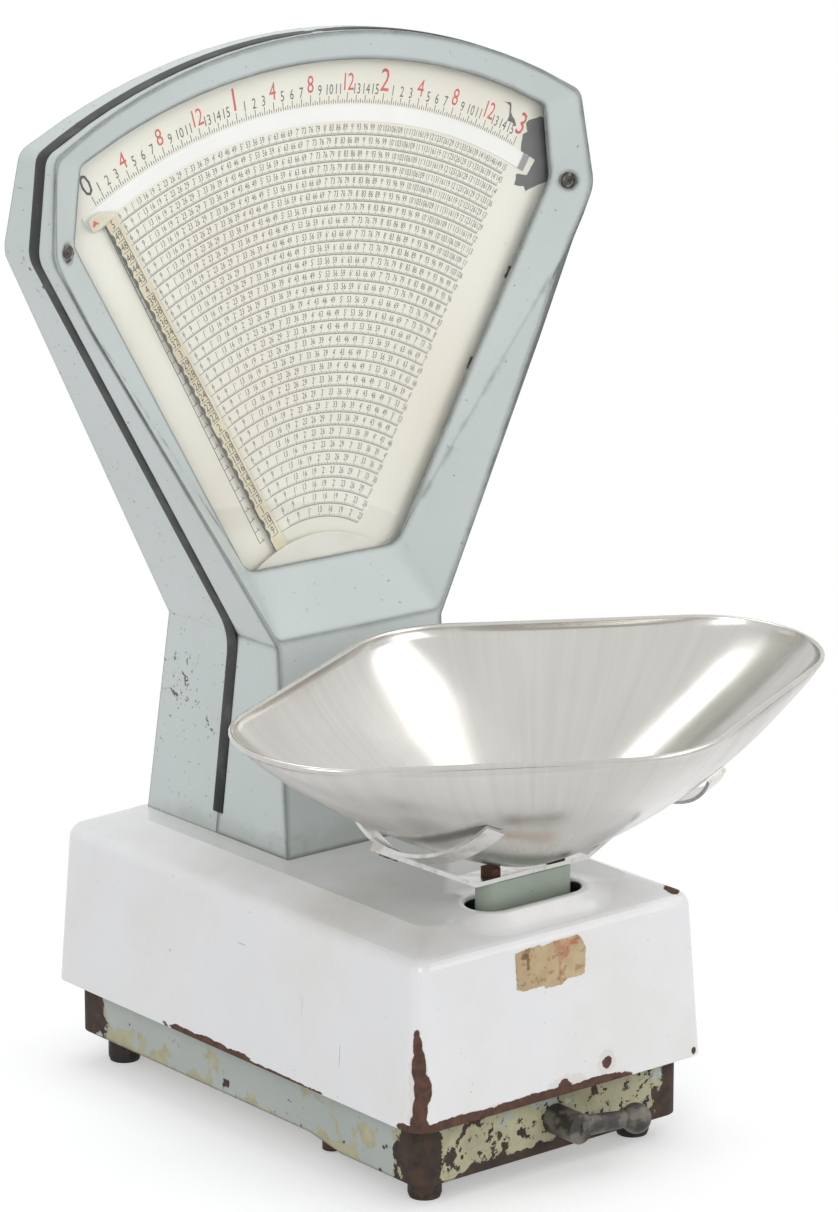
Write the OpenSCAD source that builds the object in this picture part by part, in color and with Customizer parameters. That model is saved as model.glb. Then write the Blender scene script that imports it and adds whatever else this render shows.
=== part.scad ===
// Counter scale for a shop: a fan-shaped dial head stands on an enamelled
// cover, and a lift-off pan rides on a post that comes up through the cover.
// The origin is on the counter, below the middle of the whole scale. +Z is up,
// the dial and the pan face -Y, and +X is to the right of someone reading the
// dial. Depths below are from the middle of the base, and placed() moves them.

/* [Cover] */
// Width of the enamelled cover at its lower edge
cover_w = 254; // [240:1:270]
// Depth of the cover at its lower edge
cover_d = 411; // [400:1:425]
// Height of the cover's lower edge above the counter
cover_z = 60; // [54:1:64]
// Height from the cover's lower edge to its shoulder
cover_h = 116; // [112:1:122]
// Rise of the top from its shoulder to the flat that carries the head
crown_h = 9; // [4:0.5:14]
// Taper of each side from the lower edge to the shoulder
cover_draft = 6.5; // [2:0.5:10]
// Radius of the cover's upright corners
cover_r = 15; // [10:1:24]
// Radius of the cover's top edge
shoulder_r = 12; // [6:1:16]
// Distance from the shoulder to the flat of the top
crown_inset = 30; // [24:1:40]
// Sheet thickness of the cover
cover_t = 2; // [1.2:0.1:2.6]
// Length of the oval hole that the post comes through
hole_w = 92; // [88:1:98]
// Width of the oval hole
hole_d = 34; // [30:1:40]
// Height of the collar round the oval hole
collar_h = 2.5; // [1.5:0.5:5]
// Width of the collar's flat rim
collar_w = 5; // [3:0.5:8]

/* [Base] */
// How far the base stands back from the cover's lower edge
base_inset = 12; // [10:0.5:14]
// Radius of the base's upright corners
base_r = 14; // [10:1:20]
// Height of the base's lower edge above the counter, at the back
base_z = 22.5; // [20:0.5:24]
// Height of the base's lower edge at the front, where the skirt is deeper
skirt_z = 17; // [14:0.5:19]
// Height of the base's rim, inside the cover
base_top = 76; // [72:1:84]
// Thickness of the base's walls
base_wall = 6; // [5:0.5:8]
// Thickness of the base's floor
floor_t = 5; // [4:0.5:6]
// Radius of each foot
foot_r = 11.5; // [9:0.5:13]
// Distance of the feet from the middle, across
foot_x = 91.5; // [86:0.5:94]
// Distance of the feet from the middle, front to back
foot_y = 169; // [164:0.5:172]

/* [Head] */
// Half of the width of the head's column
column_half = 71.3; // [70:0.1:76]
// Height of the waist, where the column opens out
waist_z = 332.7; // [326:0.1:340]
// Half width of the head at its widest corner
side_half = 231; // [224:0.5:238]
// Height of the widest corner
side_z = 612; // [604:1:620]
// Half width of the head at the ends of its top arc
corner_half = 223.4; // [218:0.1:226]
// Height of the ends of the top arc
corner_z = 677.7; // [672:0.1:684]
// Radius of the top arc
top_r = 441.8; // [436:0.1:448]
// Height of the top arc's centre
top_cz = 297; // [292:1:302]
// Rounding of the widest corner
side_round = 22; // [12:1:28]
// Rounding of the ends of the top arc
corner_round = 12; // [6:1:18]
// Front of the column at its foot, from the middle of the base
front_foot = 3.3; // [1:0.1:6]
// Front of the head at the waist
front_waist = 12.6; // [10:0.1:15]
// Front of the head at its crown
front_crown = 50.6; // [48:0.1:52]
// Back of the column at its foot
back_foot = 164.3; // [160:0.1:168]
// Back of the head at the waist
back_waist = 136; // [134.5:0.1:140]
// Back of the head at its crown
back_crown = 77; // [76:0.1:80]
// Seam between the two shells, at the foot
seam_foot = 84.4; // [78:0.1:90]
// Seam between the two shells, from the waist upwards
seam_head = 61.2; // [60.9:0.1:62.4]
// Sheet thickness of the two shells
shell_t = 2.5; // [2:0.1:2.8]
// Width of the rubber strip in the seam
seal_w = 5.5; // [4:0.5:7]
// Height where the rubber strip ends, above the column's foot
seal_end = 16; // [8:1:30]

/* [Dial] */
// Distance of the window's edge from the outline of the head
window_inset = 26.5; // [25:0.5:28]
// Distance of the window's top edge from the top arc
window_top = 20; // [18:0.5:22]
// Height of the window's lower edge
window_z = 376; // [372:1:384]
// Depth of the window's edge from the middle of the base
window_y = 53.6; // [53:0.1:54]
// Thickness of the window glass
glass_t = 3; // [2.5:0.1:3.2]
// Distance from the back of the glass to the dial
dial_gap = 4.9; // [4.6:0.1:5.2]
// Thickness of the dial sheet
dial_t = 1.2; // [0.8:0.1:1.5]
// Distance of the dial's edge from the outline of the head
dial_inset = 11; // [10:0.5:13]
// Height of the pointer's spindle
spindle_z = 327; // [325:0.5:328]
// Radius of the upper edge of the white band, where the weight scale begins
band_r = 360.5; // [356:0.5:362]
// Width of the white band
band_w = 11.2; // [8:0.2:13]
// Angle of the zero mark and of the full mark, each side of upright
dial_half = 29.8; // [28:0.1:31]
// Radius where the price chart ends, near the spindle
chart_r = 75; // [70:1:85]
// Width of the pointer
pointer_w = 11; // [8:0.5:13]
// Radius of the pointer's tip
pointer_r = 351; // [346:1:356]

/* [Pan] */
// Length of the pan, across the scale
pan_l = 468; // [450:1:480]
// Width of the pan, front to back
pan_w = 297; // [290:1:304]
// Radius of the pan's ends, seen from above
pan_end_r = 72.5; // [66:0.5:80]
// Radius of the pan's sides, seen from above
pan_side_r = 99.6; // [90:0.1:110]
// Depth of the pan
pan_depth = 124; // [119:0.5:124]
// Height of the pan's rim
pan_z = 333; // [333:0.5:338]
// Middle of the pan, from the middle of the base
pan_y = -171.5; // [-173:0.5:-170]
// How far the pan tips forward on its straps, in degrees
pan_tip = 3.4; // [0:0.1:4]
// Sheet thickness of the pan
pan_t = 1.2; // [0.8:0.1:1.6]
// Radius of the rolled rim
bead_r = 2; // [1.5:0.1:2.5]

/* [Cradle] */
// Middle of the post, from the middle of the base
post_y = -160; // [-161:0.5:-159]
// Length of the post's section
post_w = 76.6; // [74:0.2:80]
// Thickness of the post's section
post_d = 20.7; // [18:0.1:22]
// Height of the top of the post
post_top = 205; // [202:0.5:205]
// Distance of each strap from the middle
strap_x = 112; // [111:0.5:113]
// Width of the straps
strap_w = 16; // [14:0.5:16]
// Thickness of the straps
strap_t = 2.5; // [2:0.1:3]
// Inner radius of the straps
strap_r = 92; // [92:0.5:95]
// Lean of the straps, which follows the pan's flanks, in degrees
strap_lean = 26; // [25:0.5:27]
// Height of the point about which the pan tips forward
tip_z = 329; // [328:0.5:330]
// Depth of the straps' bottom below that point
strap_drop = 87; // [87:0.5:89]
// Half of the angle that each strap spans
strap_half = 55; // [50:0.5:55]
// Distance of the cradle bolts from the middle
bolt_x = 28; // [24:0.5:29]

/* [Linkage] */
// Travel of the pan from empty to full load
pan_travel = 6; // [5:0.1:6.2]
// Place of the fulcrum, from the middle of the base
fulcrum_y = -170; // [-172:0.5:-169]
// Height of the fulcrum's knife edges
fulcrum_z = 100; // [98:0.5:101]
// Distance from the fulcrum to the load knife edges
load_arm = 50; // [49:0.5:52]
// Distance from the fulcrum to the nose knife edge
nose_arm = 270; // [268:0.5:272]
// Distance of the fulcrum's knife edges from the middle
knife_x = 58; // [57:0.5:59]
// Height of a knife edge's section
knife_h = 8; // [7:0.5:9]
// Half width of a knife edge's section
knife_half = 4; // [3.5:0.1:4.2]
// Distance of the lever's long beam from the middle
beam_x = 18; // [17:0.5:18.5]
// Width of the lever's long beam
beam_w = 10; // [8:0.5:10.5]
// Radius of the stay's pins
stay_pin_r = 3; // [2.5:0.1:3.2]
// Distance of the stay from the middle
stay_x = 20.5; // [20:0.5:21]
// Height of the stay's pin on the base
stay_z = 47; // [46:0.5:48]
// Place of the dashpot, from the middle of the base
dashpot_y = 40; // [36:1:44]
// Distance of the dashpot from the middle
dashpot_x = 6; // [5.5:0.1:6.5]
// Outer radius of the dashpot
dashpot_r = 24; // [22:0.5:26]
// Wall of the dashpot
dashpot_wall = 2.5; // [2:0.1:3.5]
// Height of the dashpot's body
dashpot_h = 40; // [38:0.5:41]

/* [Pendulum] */
// Radius of the pointer's spindle
spindle_r = 4; // [3:0.1:5]
// Distance from the spindle to the middle of the weight
bob_arm = 52; // [46:0.5:53]
// Radius of the weight
bob_r = 14; // [11:0.5:14.5]
// Thickness of the weight
bob_t = 24; // [18:0.5:26]
// Radius of the crank's pin
crank_pin_r = 2.5; // [2:0.1:3]

/* [Lock] */
// Height of the locking shaft
lock_z = 39.5; // [39:0.5:40]
// Radius of the locking shaft
lock_r = 5; // [4:0.1:5.2]
// Radius of the hub outside the base
hub_r = 10.3; // [9:0.1:11.5]
// Distance from the locking shaft to the middle of the knob
handle_l = 52; // [46:0.5:58]
// Slope of the handle below level, at rest
handle_dip = 6; // [0:1:10]
// Radius of the knob
knob_r = 10.5; // [8:0.1:11]

/* [Clearances] */
// Gap between surfaces that move past each other or rest on each other
rest_gap = 0.3; // [0.2:0.05:0.4]
// Radial clearance of a pin or shaft in its bore
running = 0.05; // [0.02:0.01:0.1]
// Radial clearance of a pin where the linkage is left open
open_gap = 0.6; // [0.5:0.05:0.8]

/* [Hidden] */

$fn = 48;
eps = 0.01;

sage = "#a9bdb3";
steel = "#b9b9b5";
brass = "#b6a15c";

shoulder_z = cover_z + cover_h;
crown_z = shoulder_z + crown_h;
crown_top = top_cz + top_r;
base_w = cover_w - 2 * base_inset;
base_d = cover_d - 2 * base_inset;
floor_z = base_z + 1.5;
floor_top = floor_z + floor_t;
front_wall_y = -base_d / 2;

window_ledge = window_y + shell_t;
glass_back = window_ledge + glass_t;
dial_front = glass_back + dial_gap;
dial_back = dial_front + dial_t;
rear_dial_back = dial_back + 1;
pointer_front = glass_back + 1.6;
pointer_t = 0.8;
rear_pointer_front = rear_dial_back + 1.5;

lever_rest = asin(pan_travel / 2 / load_arm);
nose_travel = 2 * nose_arm * sin(lever_rest);
crank_r = nose_travel / 2 / sin(dial_half);
load_y = fulcrum_y + load_arm;
nose_y = fulcrum_y + nose_arm;
apex_z = fulcrum_z + pan_travel / 2;
nose_rest_z = fulcrum_z + nose_arm * sin(lever_rest);
crank_rest = [crank_r * cos(dial_half), spindle_z + crank_r * sin(dial_half)];

stay_leg_z = stay_z + pan_travel / 2;
spider_z = fulcrum_z + 18;
spider_t = 8;
bridge_y = rear_pointer_front + 4;
bridge_t = 6;
back_plate_y = 118;
back_plate_t = 8;
leg_x = 45;
strip_top = post_top + 3;
strip_w = 20;
knob_y = -(cover_d / 2 + 1.3 + knob_r);
hub_back = front_wall_y - 0.5;
hub_front = knob_y - 4;

// Point where the line through p along u meets the line through q along v
function meet(p, u, q, v) =
    let (d = u[0] * v[1] - u[1] * v[0])
    let (t = ((q[0] - p[0]) * v[1] - (q[1] - p[1]) * v[0]) / d)
    [p[0] + t * u[0], p[1] + t * u[1]];

// Direction from p to q, and its left-hand normal
function dir(p, q) = (q - p) / norm(q - p);
function left(u) = [-u[1], u[0]];

// Height on a line from [z0, y0] to [z1, y1], read at z
function along(z, z0, y0, z1, y1) = y0 + (y1 - y0) * (z - z0) / (z1 - z0);

// Points of a rounded corner at b, coming from a and going to c
function rounded(a, b, c, r, n = 5) =
    let (u = dir(b, a), v = dir(b, c))
    let (half = acos(u * v) / 2)
    let (m = b + (r / sin(half)) * dir([0, 0], u + v))
    let (p = b + (r / tan(half)) * u, q = b + (r / tan(half)) * v)
    let (a0 = atan2(p[1] - m[1], p[0] - m[0]))
    let (turn = atan2(q[1] - m[1], q[0] - m[0]) - a0)
    let (sweep = turn > 180 ? turn - 360 : turn < -180 ? turn + 360 : turn)
    [for (i = [0 : n]) m + r * [cos(a0 + sweep * i / n), sin(a0 + sweep * i / n)]];

// The head's outline on its right side, set in by d, in [x, z]
waist_pt = [column_half, waist_z];
side_pt = [side_half, side_z];
corner_pt = [corner_half, corner_z];
slant_u = dir(waist_pt, side_pt);
side_u = dir(side_pt, corner_pt);
function slant_at(d) = waist_pt + d * left(slant_u);
function side_at(d) = side_pt + d * left(side_u);
function widest(d) = meet(slant_at(d), slant_u, side_at(d), side_u);

// Where the side line meets the top arc, set in by d and by e
function arc_end(d, e) =
    let (p = side_at(d) - [0, top_cz], b = p * side_u, c = p * p - pow(top_r - e, 2))
    side_at(d) + (sqrt(b * b - c) - b) * side_u;

function arc_points(a, e, n = 12) =
    [for (i = [1 : n]) let (t = a * (1 - i / n)) [(top_r - e) * sin(t), top_cz + (top_r - e) * cos(t)]];

function upper_half(d, e) =
    let (s = widest(d), c = arc_end(d, e), a = atan2(c[0], c[1] - top_cz))
    let (arc = arc_points(a, e), start = slant_at(d))
    concat(
        rounded(start, s, c, max(side_round - d / 2, 3)),
        rounded(s, c, arc[0], max(corner_round - d / 4, 3)),
        [for (i = [1 : len(arc) - 1]) arc[i]]
    );

// The whole outline of the head, with its column, set in by d
function head_half(d, low) =
    let (w = meet([column_half - d, 0], [0, 1], slant_at(d), slant_u))
    concat([[column_half - d, low], w], upper_half(d, d));

// The fan alone, set in by d at the sides and by e at the top, ending at low
function fan_half(d, e, low, r) =
    let (b = meet([0, low], [1, 0], slant_at(d), slant_u))
    concat(rounded([0, low], b, widest(d), r), upper_half(d, e));

function mirrored(half) =
    concat(half, [for (i = [len(half) - 2 : -1 : 0]) [-half[i][0], half[i][1]]]);

// Depth of the head's front, back and seam at height z, set in by d
function front_at(z) =
    z < waist_z ? along(z, crown_z, front_foot, waist_z, front_waist)
    : along(z, waist_z, front_waist, crown_top, front_crown);
function back_at(z) =
    z < waist_z ? along(z, crown_z, back_foot, waist_z, back_waist)
    : along(z, waist_z, back_waist, crown_top, back_crown);
function seam_at(z) = z < waist_z ? along(z, crown_z, seam_foot, waist_z, seam_head) : seam_head;

// A flat shape in X and Z, extruded along Y from y0 to y1
module slab(y0, y1) {
    translate([0, y1, 0]) rotate([90, 0, 0]) linear_extrude(y1 - y0) children();
}

// A flat shape in Y and Z, extruded along X between x0 and x1
module web(x0, x1) {
    translate([x0, 0, 0]) rotate([90, 0, 90]) linear_extrude(x1 - x0) children();
}

// A round bar along Y, between y0 and y1, at [x, z]
module bar_y(x, z, r, y0, y1) {
    translate([x, y1, z]) rotate([90, 0, 0]) cylinder(r = r, h = y1 - y0);
}

// A round bar along X, between x0 and x1, at [y, z]
module bar_x(y, z, r, x0, x1) {
    translate([x0, y, z]) rotate([0, 90, 0]) cylinder(r = r, h = x1 - x0);
}

// A block between two corners
module block(a, b) {
    translate(a) cube(b - a);
}

// A copy on each side of the middle
module both() {
    children();
    mirror([1, 0, 0]) children();
}

// A rectangle with round corners, centred
module round_rect(w, d, r) {
    square([w - 2 * r, d], center = true);
    square([w, d - 2 * r], center = true);
    for (x = [-1, 1], y = [-1, 1]) translate([x * (w / 2 - r), y * (d / 2 - r)]) circle(r);
}

// An oval with round ends, centred
module oval(w, d) {
    square([w - d, d], center = true);
    for (x = [-1, 1]) translate([x * (w - d) / 2, 0]) circle(d = d);
}

// The enamelled cover's outer form, set in by t on every face
module cover_form(t) {
    w = cover_w - 2 * t;
    d = cover_d - 2 * t;
    r = shoulder_r - t;
    top_w = w - 2 * cover_draft;
    top_d = d - 2 * cover_draft;
    flat_w = top_w - 2 * crown_inset;
    flat_d = top_d - 2 * crown_inset;
    hull() {
        translate([0, 0, cover_z]) linear_extrude(1) round_rect(w, d, cover_r - t, $fn = 32);
        for (x = [-1, 1], y = [-1, 1])
            translate([x * (top_w / 2 - r), y * (top_d / 2 - r), shoulder_z - t - r]) sphere(r, $fn = 28);
        translate([0, 0, crown_z - t - 1]) linear_extrude(1) round_rect(flat_w, flat_d, cover_r, $fn = 32);
    }
}

// The opening under the column, for the head frame and the connecting rod
module column_opening() {
    block([-53, 26, shoulder_z - 10], [53, 138, crown_z + 10]);
}

module enamel_cover() color("#f1f0ec") difference() {
    union() {
        difference() {
            cover_form(0);
            difference() {
                cover_form(cover_t);
                for (x = [-1, 1], y = [-1, 1]) cover_lug(x, y);
            }
            translate([0, 0, cover_z - 1]) linear_extrude(1 + eps) round_rect(
                cover_w - 2 * cover_t, cover_d - 2 * cover_t, cover_r - cover_t, $fn = 32
            );
        }
        translate([0, post_y, crown_z - collar_drop])
            linear_extrude(collar_h + collar_drop) oval(hole_w + 2 * collar_w, hole_d + 2 * collar_w);
    }
    translate([0, post_y, shoulder_z - 10]) linear_extrude(60) oval(hole_w, hole_d);
    column_opening();
    both() for (y = [front_lug_y, rear_lug_y]) lug_bore(y);
    for (x = [-1, 1], y = [-1, 1])
        translate([x * lug_x, y * lug_y, base_top - 1]) cylinder(r = screw_r + running, h = 14);
}
collar_drop = crown_h - 1;

// Lugs inside the cover that stand on the base's rim, with a screw in each
lug_x = base_w / 2 - 12;
lug_y = base_d / 2 - 45;
screw_r = 2.5;
module cover_lug(x, y) {
    reach = cover_w / 2 - cover_draft * (base_top - cover_z) / cover_h - lug_x + 8;
    translate([x * (lug_x + reach / 2 - 8), y * lug_y, base_top + 8]) cube([reach, 16, 16], center = true);
}

module cover_screws() color(steel) for (x = [-1, 1], y = [-1, 1]) translate([x * lug_x, y * lug_y, 0]) {
    translate([0, 0, base_top - 12]) cylinder(r = 4.5, h = 3);
    translate([0, 0, base_top - 9 - eps]) cylinder(r = screw_r, h = 20);
}

module base_casting() color(sage) difference() {
    union() {
        intersection() {
            translate([0, 0, skirt_z]) linear_extrude(base_top - skirt_z) round_rect(base_w, base_d, base_r);
            web(-base_w / 2 - 1, base_w / 2 + 1) polygon([
                [front_wall_y - 1, skirt_z], [-110, skirt_z], [-75, base_z], [base_d / 2 + 1, base_z],
                [base_d / 2 + 1, base_top], [front_wall_y - 1, base_top]
            ]);
        }
        for (x = [-1, 1], y = [-1, 1])
            translate([x * foot_x, y * foot_y, skirt_z]) cylinder(r = foot_r + 1.5, h = base_z - skirt_z + 2);
    }
    difference() {
        union() {
            translate([0, 0, floor_top]) linear_extrude(base_top) base_inside();
            linear_extrude(floor_z) base_inside();
        }
        for (x = [-1, 1], y = [-1, 1]) {
            translate([x * foot_x, y * foot_y, skirt_z])
                cylinder(r = foot_r + 1.5, h = floor_top - skirt_z + 6);
            translate([x * (lug_x + 2), y * lug_y, base_top - 4.5]) cube([16, 22, 9], center = true);
        }
    }
    for (x = [-1, 1], y = [-1, 1]) {
        translate([x * foot_x, y * foot_y, 0]) cylinder(r = foot_spigot_r + running, h = floor_top + 12);
        translate([x * lug_x, y * lug_y, base_top - 20]) cylinder(r = screw_r + running, h = 30);
    }
    bar_y(0, lock_z, bush_r, front_wall_y - 1, front_wall_y + base_wall + 1);
    translate([stop_x, stop_y, 0]) cylinder(r = 4 + running, h = floor_top + 2);
    at_frame_bolts() cylinder(r = frame_bolt_r + running, h = floor_top + 1);
}

module base_inside() {
    round_rect(base_w - 2 * base_wall, base_d - 2 * base_wall, base_r - 4);
}

// Turned feet, each with a spigot up into its boss
foot_spigot_r = 5;
module feet() color("#2e2a26") for (x = [-1, 1], y = [-1, 1]) translate([x * foot_x, y * foot_y, 0]) {
    cylinder(r1 = foot_r - 1, r2 = foot_r, h = 3);
    translate([0, 0, 3 - eps]) cylinder(r = foot_r, h = skirt_z - 3 + eps);
    cylinder(r = foot_spigot_r, h = floor_top + 4);
}

// A short stop screwed up into the floor, just clear of the counter
stop_x = 27 - base_w / 2;
stop_y = 127.5 - base_d / 2;
module transit_stop() color("#2e2a26") translate([stop_x, stop_y, 0]) {
    translate([0, 0, 1.5]) cylinder(r = 7, h = floor_z - 1.5);
    translate([0, 0, floor_z - eps]) cylinder(r = 4, h = floor_t + 2);
}

// The solid of the head between its front and back faces, set in by d
past_head = 20;
head_reach = max(side_half, corner_half) + past_head;
module head_block(d, low) {
    high = crown_top + past_head;
    intersection() {
        slab(front_foot - past_head, back_foot + past_head) polygon(mirrored(head_half(d, low)));
        web(-head_reach, head_reach) polygon([
            [front_at(low) + d, low], [front_waist + d, waist_z], [front_at(high) + d, high],
            [back_at(high) - d, high], [back_waist - d, waist_z], [back_at(low) - d, low]
        ]);
    }
}

// Everything in front of the seam, shifted by s in Y, with the strip's gap g
module before_seam(s, g) {
    seal_z = crown_z + seal_end;
    low = crown_z - past_head;
    high = crown_top + past_head;
    front = front_foot - past_head;
    web(-head_reach, head_reach) polygon([
        [front, low], [seam_at(crown_z) + s, low], [seam_at(crown_z) + s, crown_z],
        [seam_at(seal_z) + s, seal_z], [seam_at(seal_z) + g, seal_z],
        [seam_head + g, waist_z], [seam_head + g, high], [front, high]
    ]);
}

// The dished face of the dial runs from the head's front edge in to the window.
// Its two ends are outlines in leaning and upright planes, and the solid between
// them is their hull; past the front face it goes on in the same slope.
function window_ring(grow) =
    mirrored(fan_half(window_inset - grow, window_top - grow, window_z - grow, 16));
lip = 2;
past = 0.25;
module dish(grow) {
    side_in = lip - grow - past * (window_inset - lip);
    top_in = lip - grow - past * (window_top - lip);
    low = waist_z + 3 - grow - past * (window_z - waist_z - 3);
    lean = (front_crown - front_waist) / (crown_top - waist_z) * (1 + past);
    foot = front_waist - past * (window_y - front_waist) + grow;
    hull() {
        slab(window_y + grow - eps, window_y + grow) polygon(window_ring(grow));
        multmatrix([[1, 0, 0, 0], [0, 1, lean, foot - lean * waist_z], [0, 0, 1, 0], [0, 0, 0, 1]])
            slab(-eps, 0) polygon(mirrored(fan_half(side_in, top_in, low, 6)));
    }
}

// Bosses behind the dished face, in pairs beside the fan's slanted sides
boss_inset = 17;
dial_heights = [440, 596];
clip_heights = [490, 550];
small_screw_r = 1.5;
module at_bosses(heights) {
    for (z = heights) let (p = meet([0, z], [1, 0], slant_at(boss_inset), slant_u)) both()
        translate([p[0], 0, z]) rotate([0, 270 - atan2(slant_u[1], slant_u[0]), 0]) children();
}

// The two bezel screws go through the dished face and into the rear shell
bezel_pt = widest(16.3);
bezel_seat = window_y - 4.7;
washer_r = 5.4;
module at_bezel() {
    both() translate([bezel_pt[0], 0, bezel_pt[1]]) children();
}

module front_housing() color(sage) difference() {
    union() {
        difference() {
            intersection() {
                head_block(0, crown_z);
                before_seam(-0.15, -seal_w / 2);
            }
            difference() {
                head_block(shell_t, crown_z - 1);
                dish(shell_t);
            }
        }
        at_bosses(dial_heights) bar_y(0, 0, 4, window_y - 14, dial_front);
        at_bosses(clip_heights) bar_y(0, 0, 4, window_y - 14, glass_back);
        at_bezel() bar_y(0, 0, 5.5, window_y - 14, seam_head - seal_w / 2);
        both() column_lug(front_lug_y);
    }
    difference() {
        dish(0);
        at_bezel() bar_y(0, 0, washer_r + 0.6, bezel_seat, window_ledge);
    }
    at_bezel() bar_y(0, 0, washer_r + 0.3, bezel_seat - 12, bezel_seat);
    slab(window_y - 1, window_ledge + 1) polygon(window_ring(0));
    at_bosses(dial_heights) bar_y(0, 0, small_screw_r + running, dial_front - 6, dial_front + 1);
    at_bosses(clip_heights) bar_y(0, 0, small_screw_r + running, glass_back - 6, glass_back + 1);
    at_bezel() bar_y(0, 0, 2.6, bezel_seat - 1, seam_head);
    both() lug_bore(front_lug_y);
}

// Lugs inside the foot of the column, with screws that come up through the cover
lug_in = column_half - 9.3;
front_lug_y = 13.5;
rear_lug_y = 151;
column_screw_r = 2;
module column_lug(y) {
    block([lug_in - 6, y - 9, crown_z], [column_half - 1, y + 9, crown_z + 14]);
}
module lug_bore(y) {
    translate([lug_in, y, crown_z - 8]) cylinder(r = column_screw_r + running, h = 20);
}

module column_screws() color(steel) both() for (y = [front_lug_y, rear_lug_y]) translate([lug_in, y, 0]) {
    translate([0, 0, crown_z - cover_t - 2.5]) cylinder(r = 4, h = 2.5);
    translate([0, 0, crown_z - cover_t - eps]) cylinder(r = column_screw_r, h = 12);
}

module rear_housing() color(sage) difference() {
    union() {
        difference() {
            head_block(0, crown_z);
            before_seam(0.15, seal_w / 2);
            head_block(shell_t, crown_z - 1);
        }
        at_bezel() bar_y(0, 0, 6, seam_head + seal_w / 2, back_at(bezel_pt[1]) - 1);
        both() column_lug(rear_lug_y);
    }
    at_bezel() bar_y(0, 0, 2 + running, seam_head, seam_head + 20);
    both() lug_bore(rear_lug_y);
    rear_sector(rear_low, rear_high, rear_half, seam_head + 5, back_waist + 1);
}

// A sector about the spindle, from r0 to r1, extruded from y0 to y1
module rear_sector(r0, r1, half, y0, y1) {
    n = 16;
    slab(y0, y1) translate([0, spindle_z]) polygon(concat(
        [for (i = [0 : n]) let (a = half * (1 - 2 * i / n)) [r1 * sin(a), r1 * cos(a)]],
        [for (i = [0 : n]) let (a = half * (2 * i / n - 1)) [r0 * sin(a), r0 * cos(a)]]
    ));
}

// The customer's window: a curved slot in the rear shell, with glass behind it
rear_rise = 17.5;
rear_window_h = 52;
rear_high = band_r + rear_rise;
rear_low = rear_high - rear_window_h;
rear_half = dial_half + 2.2;
module rear_window() color("#dfe8e6", 0.4) intersection() {
    rear_sector(rear_low - 5, rear_high + 5, rear_half + 1, seam_head, back_waist);
    web(-head_reach, head_reach) polygon([
        [back_at(waist_z) - shell_t, waist_z], [back_at(crown_top) - shell_t, crown_top],
        [back_at(crown_top) - shell_t - glass_t, crown_top], [back_at(waist_z) - shell_t - glass_t, waist_z]
    ]);
}

module housing_seal() color("#1e1d1f") difference() {
    intersection() {
        head_block(1, crown_z);
        before_seam(front_foot - seam_foot, seal_w / 2);
    }
    before_seam(seal_w / 2, -seal_w / 2);
    head_block(shell_t + 2, crown_z - 1);
}

module bezel_screws() color("#5d5a55") at_bezel() {
    difference() {
        bar_y(0, 0, 3.4, bezel_seat - 1.8, bezel_seat - 0.6);
        bar_y(0, 0, 1.2, bezel_seat - 3, bezel_seat - 1.2);
    }
    bar_y(0, 0, 2, bezel_seat - 0.6 - eps, seam_head + 16);
}

// Cup washers under the heads of the bezel screws
module cup_washers() color("#8d8a84") at_bezel() difference() {
    bar_y(0, 0, washer_r, bezel_seat - 2, bezel_seat);
    bar_y(0, 0, 3.5, bezel_seat - 3, bezel_seat - 0.6);
    bar_y(0, 0, 2.1, bezel_seat - 3, bezel_seat + 1);
}

module dial_window() color("#e8eeec", 0.3) slab(window_ledge, glass_back)
    polygon(mirrored(fan_half(window_inset - 4, window_top - 4, window_z - 4, 18)));

// Flat clips on their bosses that reach over the edge of the glass
clip_t = 1.2;
module window_clips() color(steel) at_bosses(clip_heights) difference() {
    block([-4, glass_back, -4.5], [9.5, glass_back + clip_t, 4.5]);
    bar_y(0, 0, small_screw_r + running, glass_back - 1, glass_back + clip_t + 1);
}

// A sheet of the dial's outline, cut for its screws and for the bezel screws' bosses
module dial_sheet(y0, y1) {
    difference() {
        slab(y0, y1) polygon(mirrored(fan_half(dial_inset, dial_inset, window_z - 30, 12)));
        at_bosses(dial_heights) bar_y(0, 0, small_screw_r + running, y0 - 1, y1 + 1);
        at_bezel() bar_y(0, 0, 7, y0 - 1, y1 + 1);
    }
}

module dial_plate() color("#ecebe4") dial_sheet(dial_front, dial_back);

module rear_dial() color("#e4e2d8") dial_sheet(dial_back, rear_dial_back);

module scale_band() color("#f8f8f6")
    rear_sector(band_r - band_w, band_r, dial_half + 2.2, dial_front - 0.8, dial_front);

// A low dome-shaped plate, bare, on the back of the glass at the foot of the window
module name_plate() color("#f4f3ef") intersection() {
    slab(glass_back, glass_back + 0.8)
        polygon(mirrored(fan_half(window_inset - 3, window_top, window_z - 3, 18)));
    translate([0, 0, window_z + 17 - 90]) bar_y(0, 0, 90, 40, 80);
}

// A small screw along Y, with its head's underside at y and its shank to the front
module small_screw(y, reach) {
    bar_y(0, 0, 2.8, y, y + 1.2);
    bar_y(0, 0, small_screw_r, y - reach, y + eps);
}

module dial_screws() color(steel) {
    at_bosses(dial_heights) small_screw(rear_dial_back, 6);
    at_bosses(clip_heights) small_screw(glass_back + clip_t, 6);
}

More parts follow.
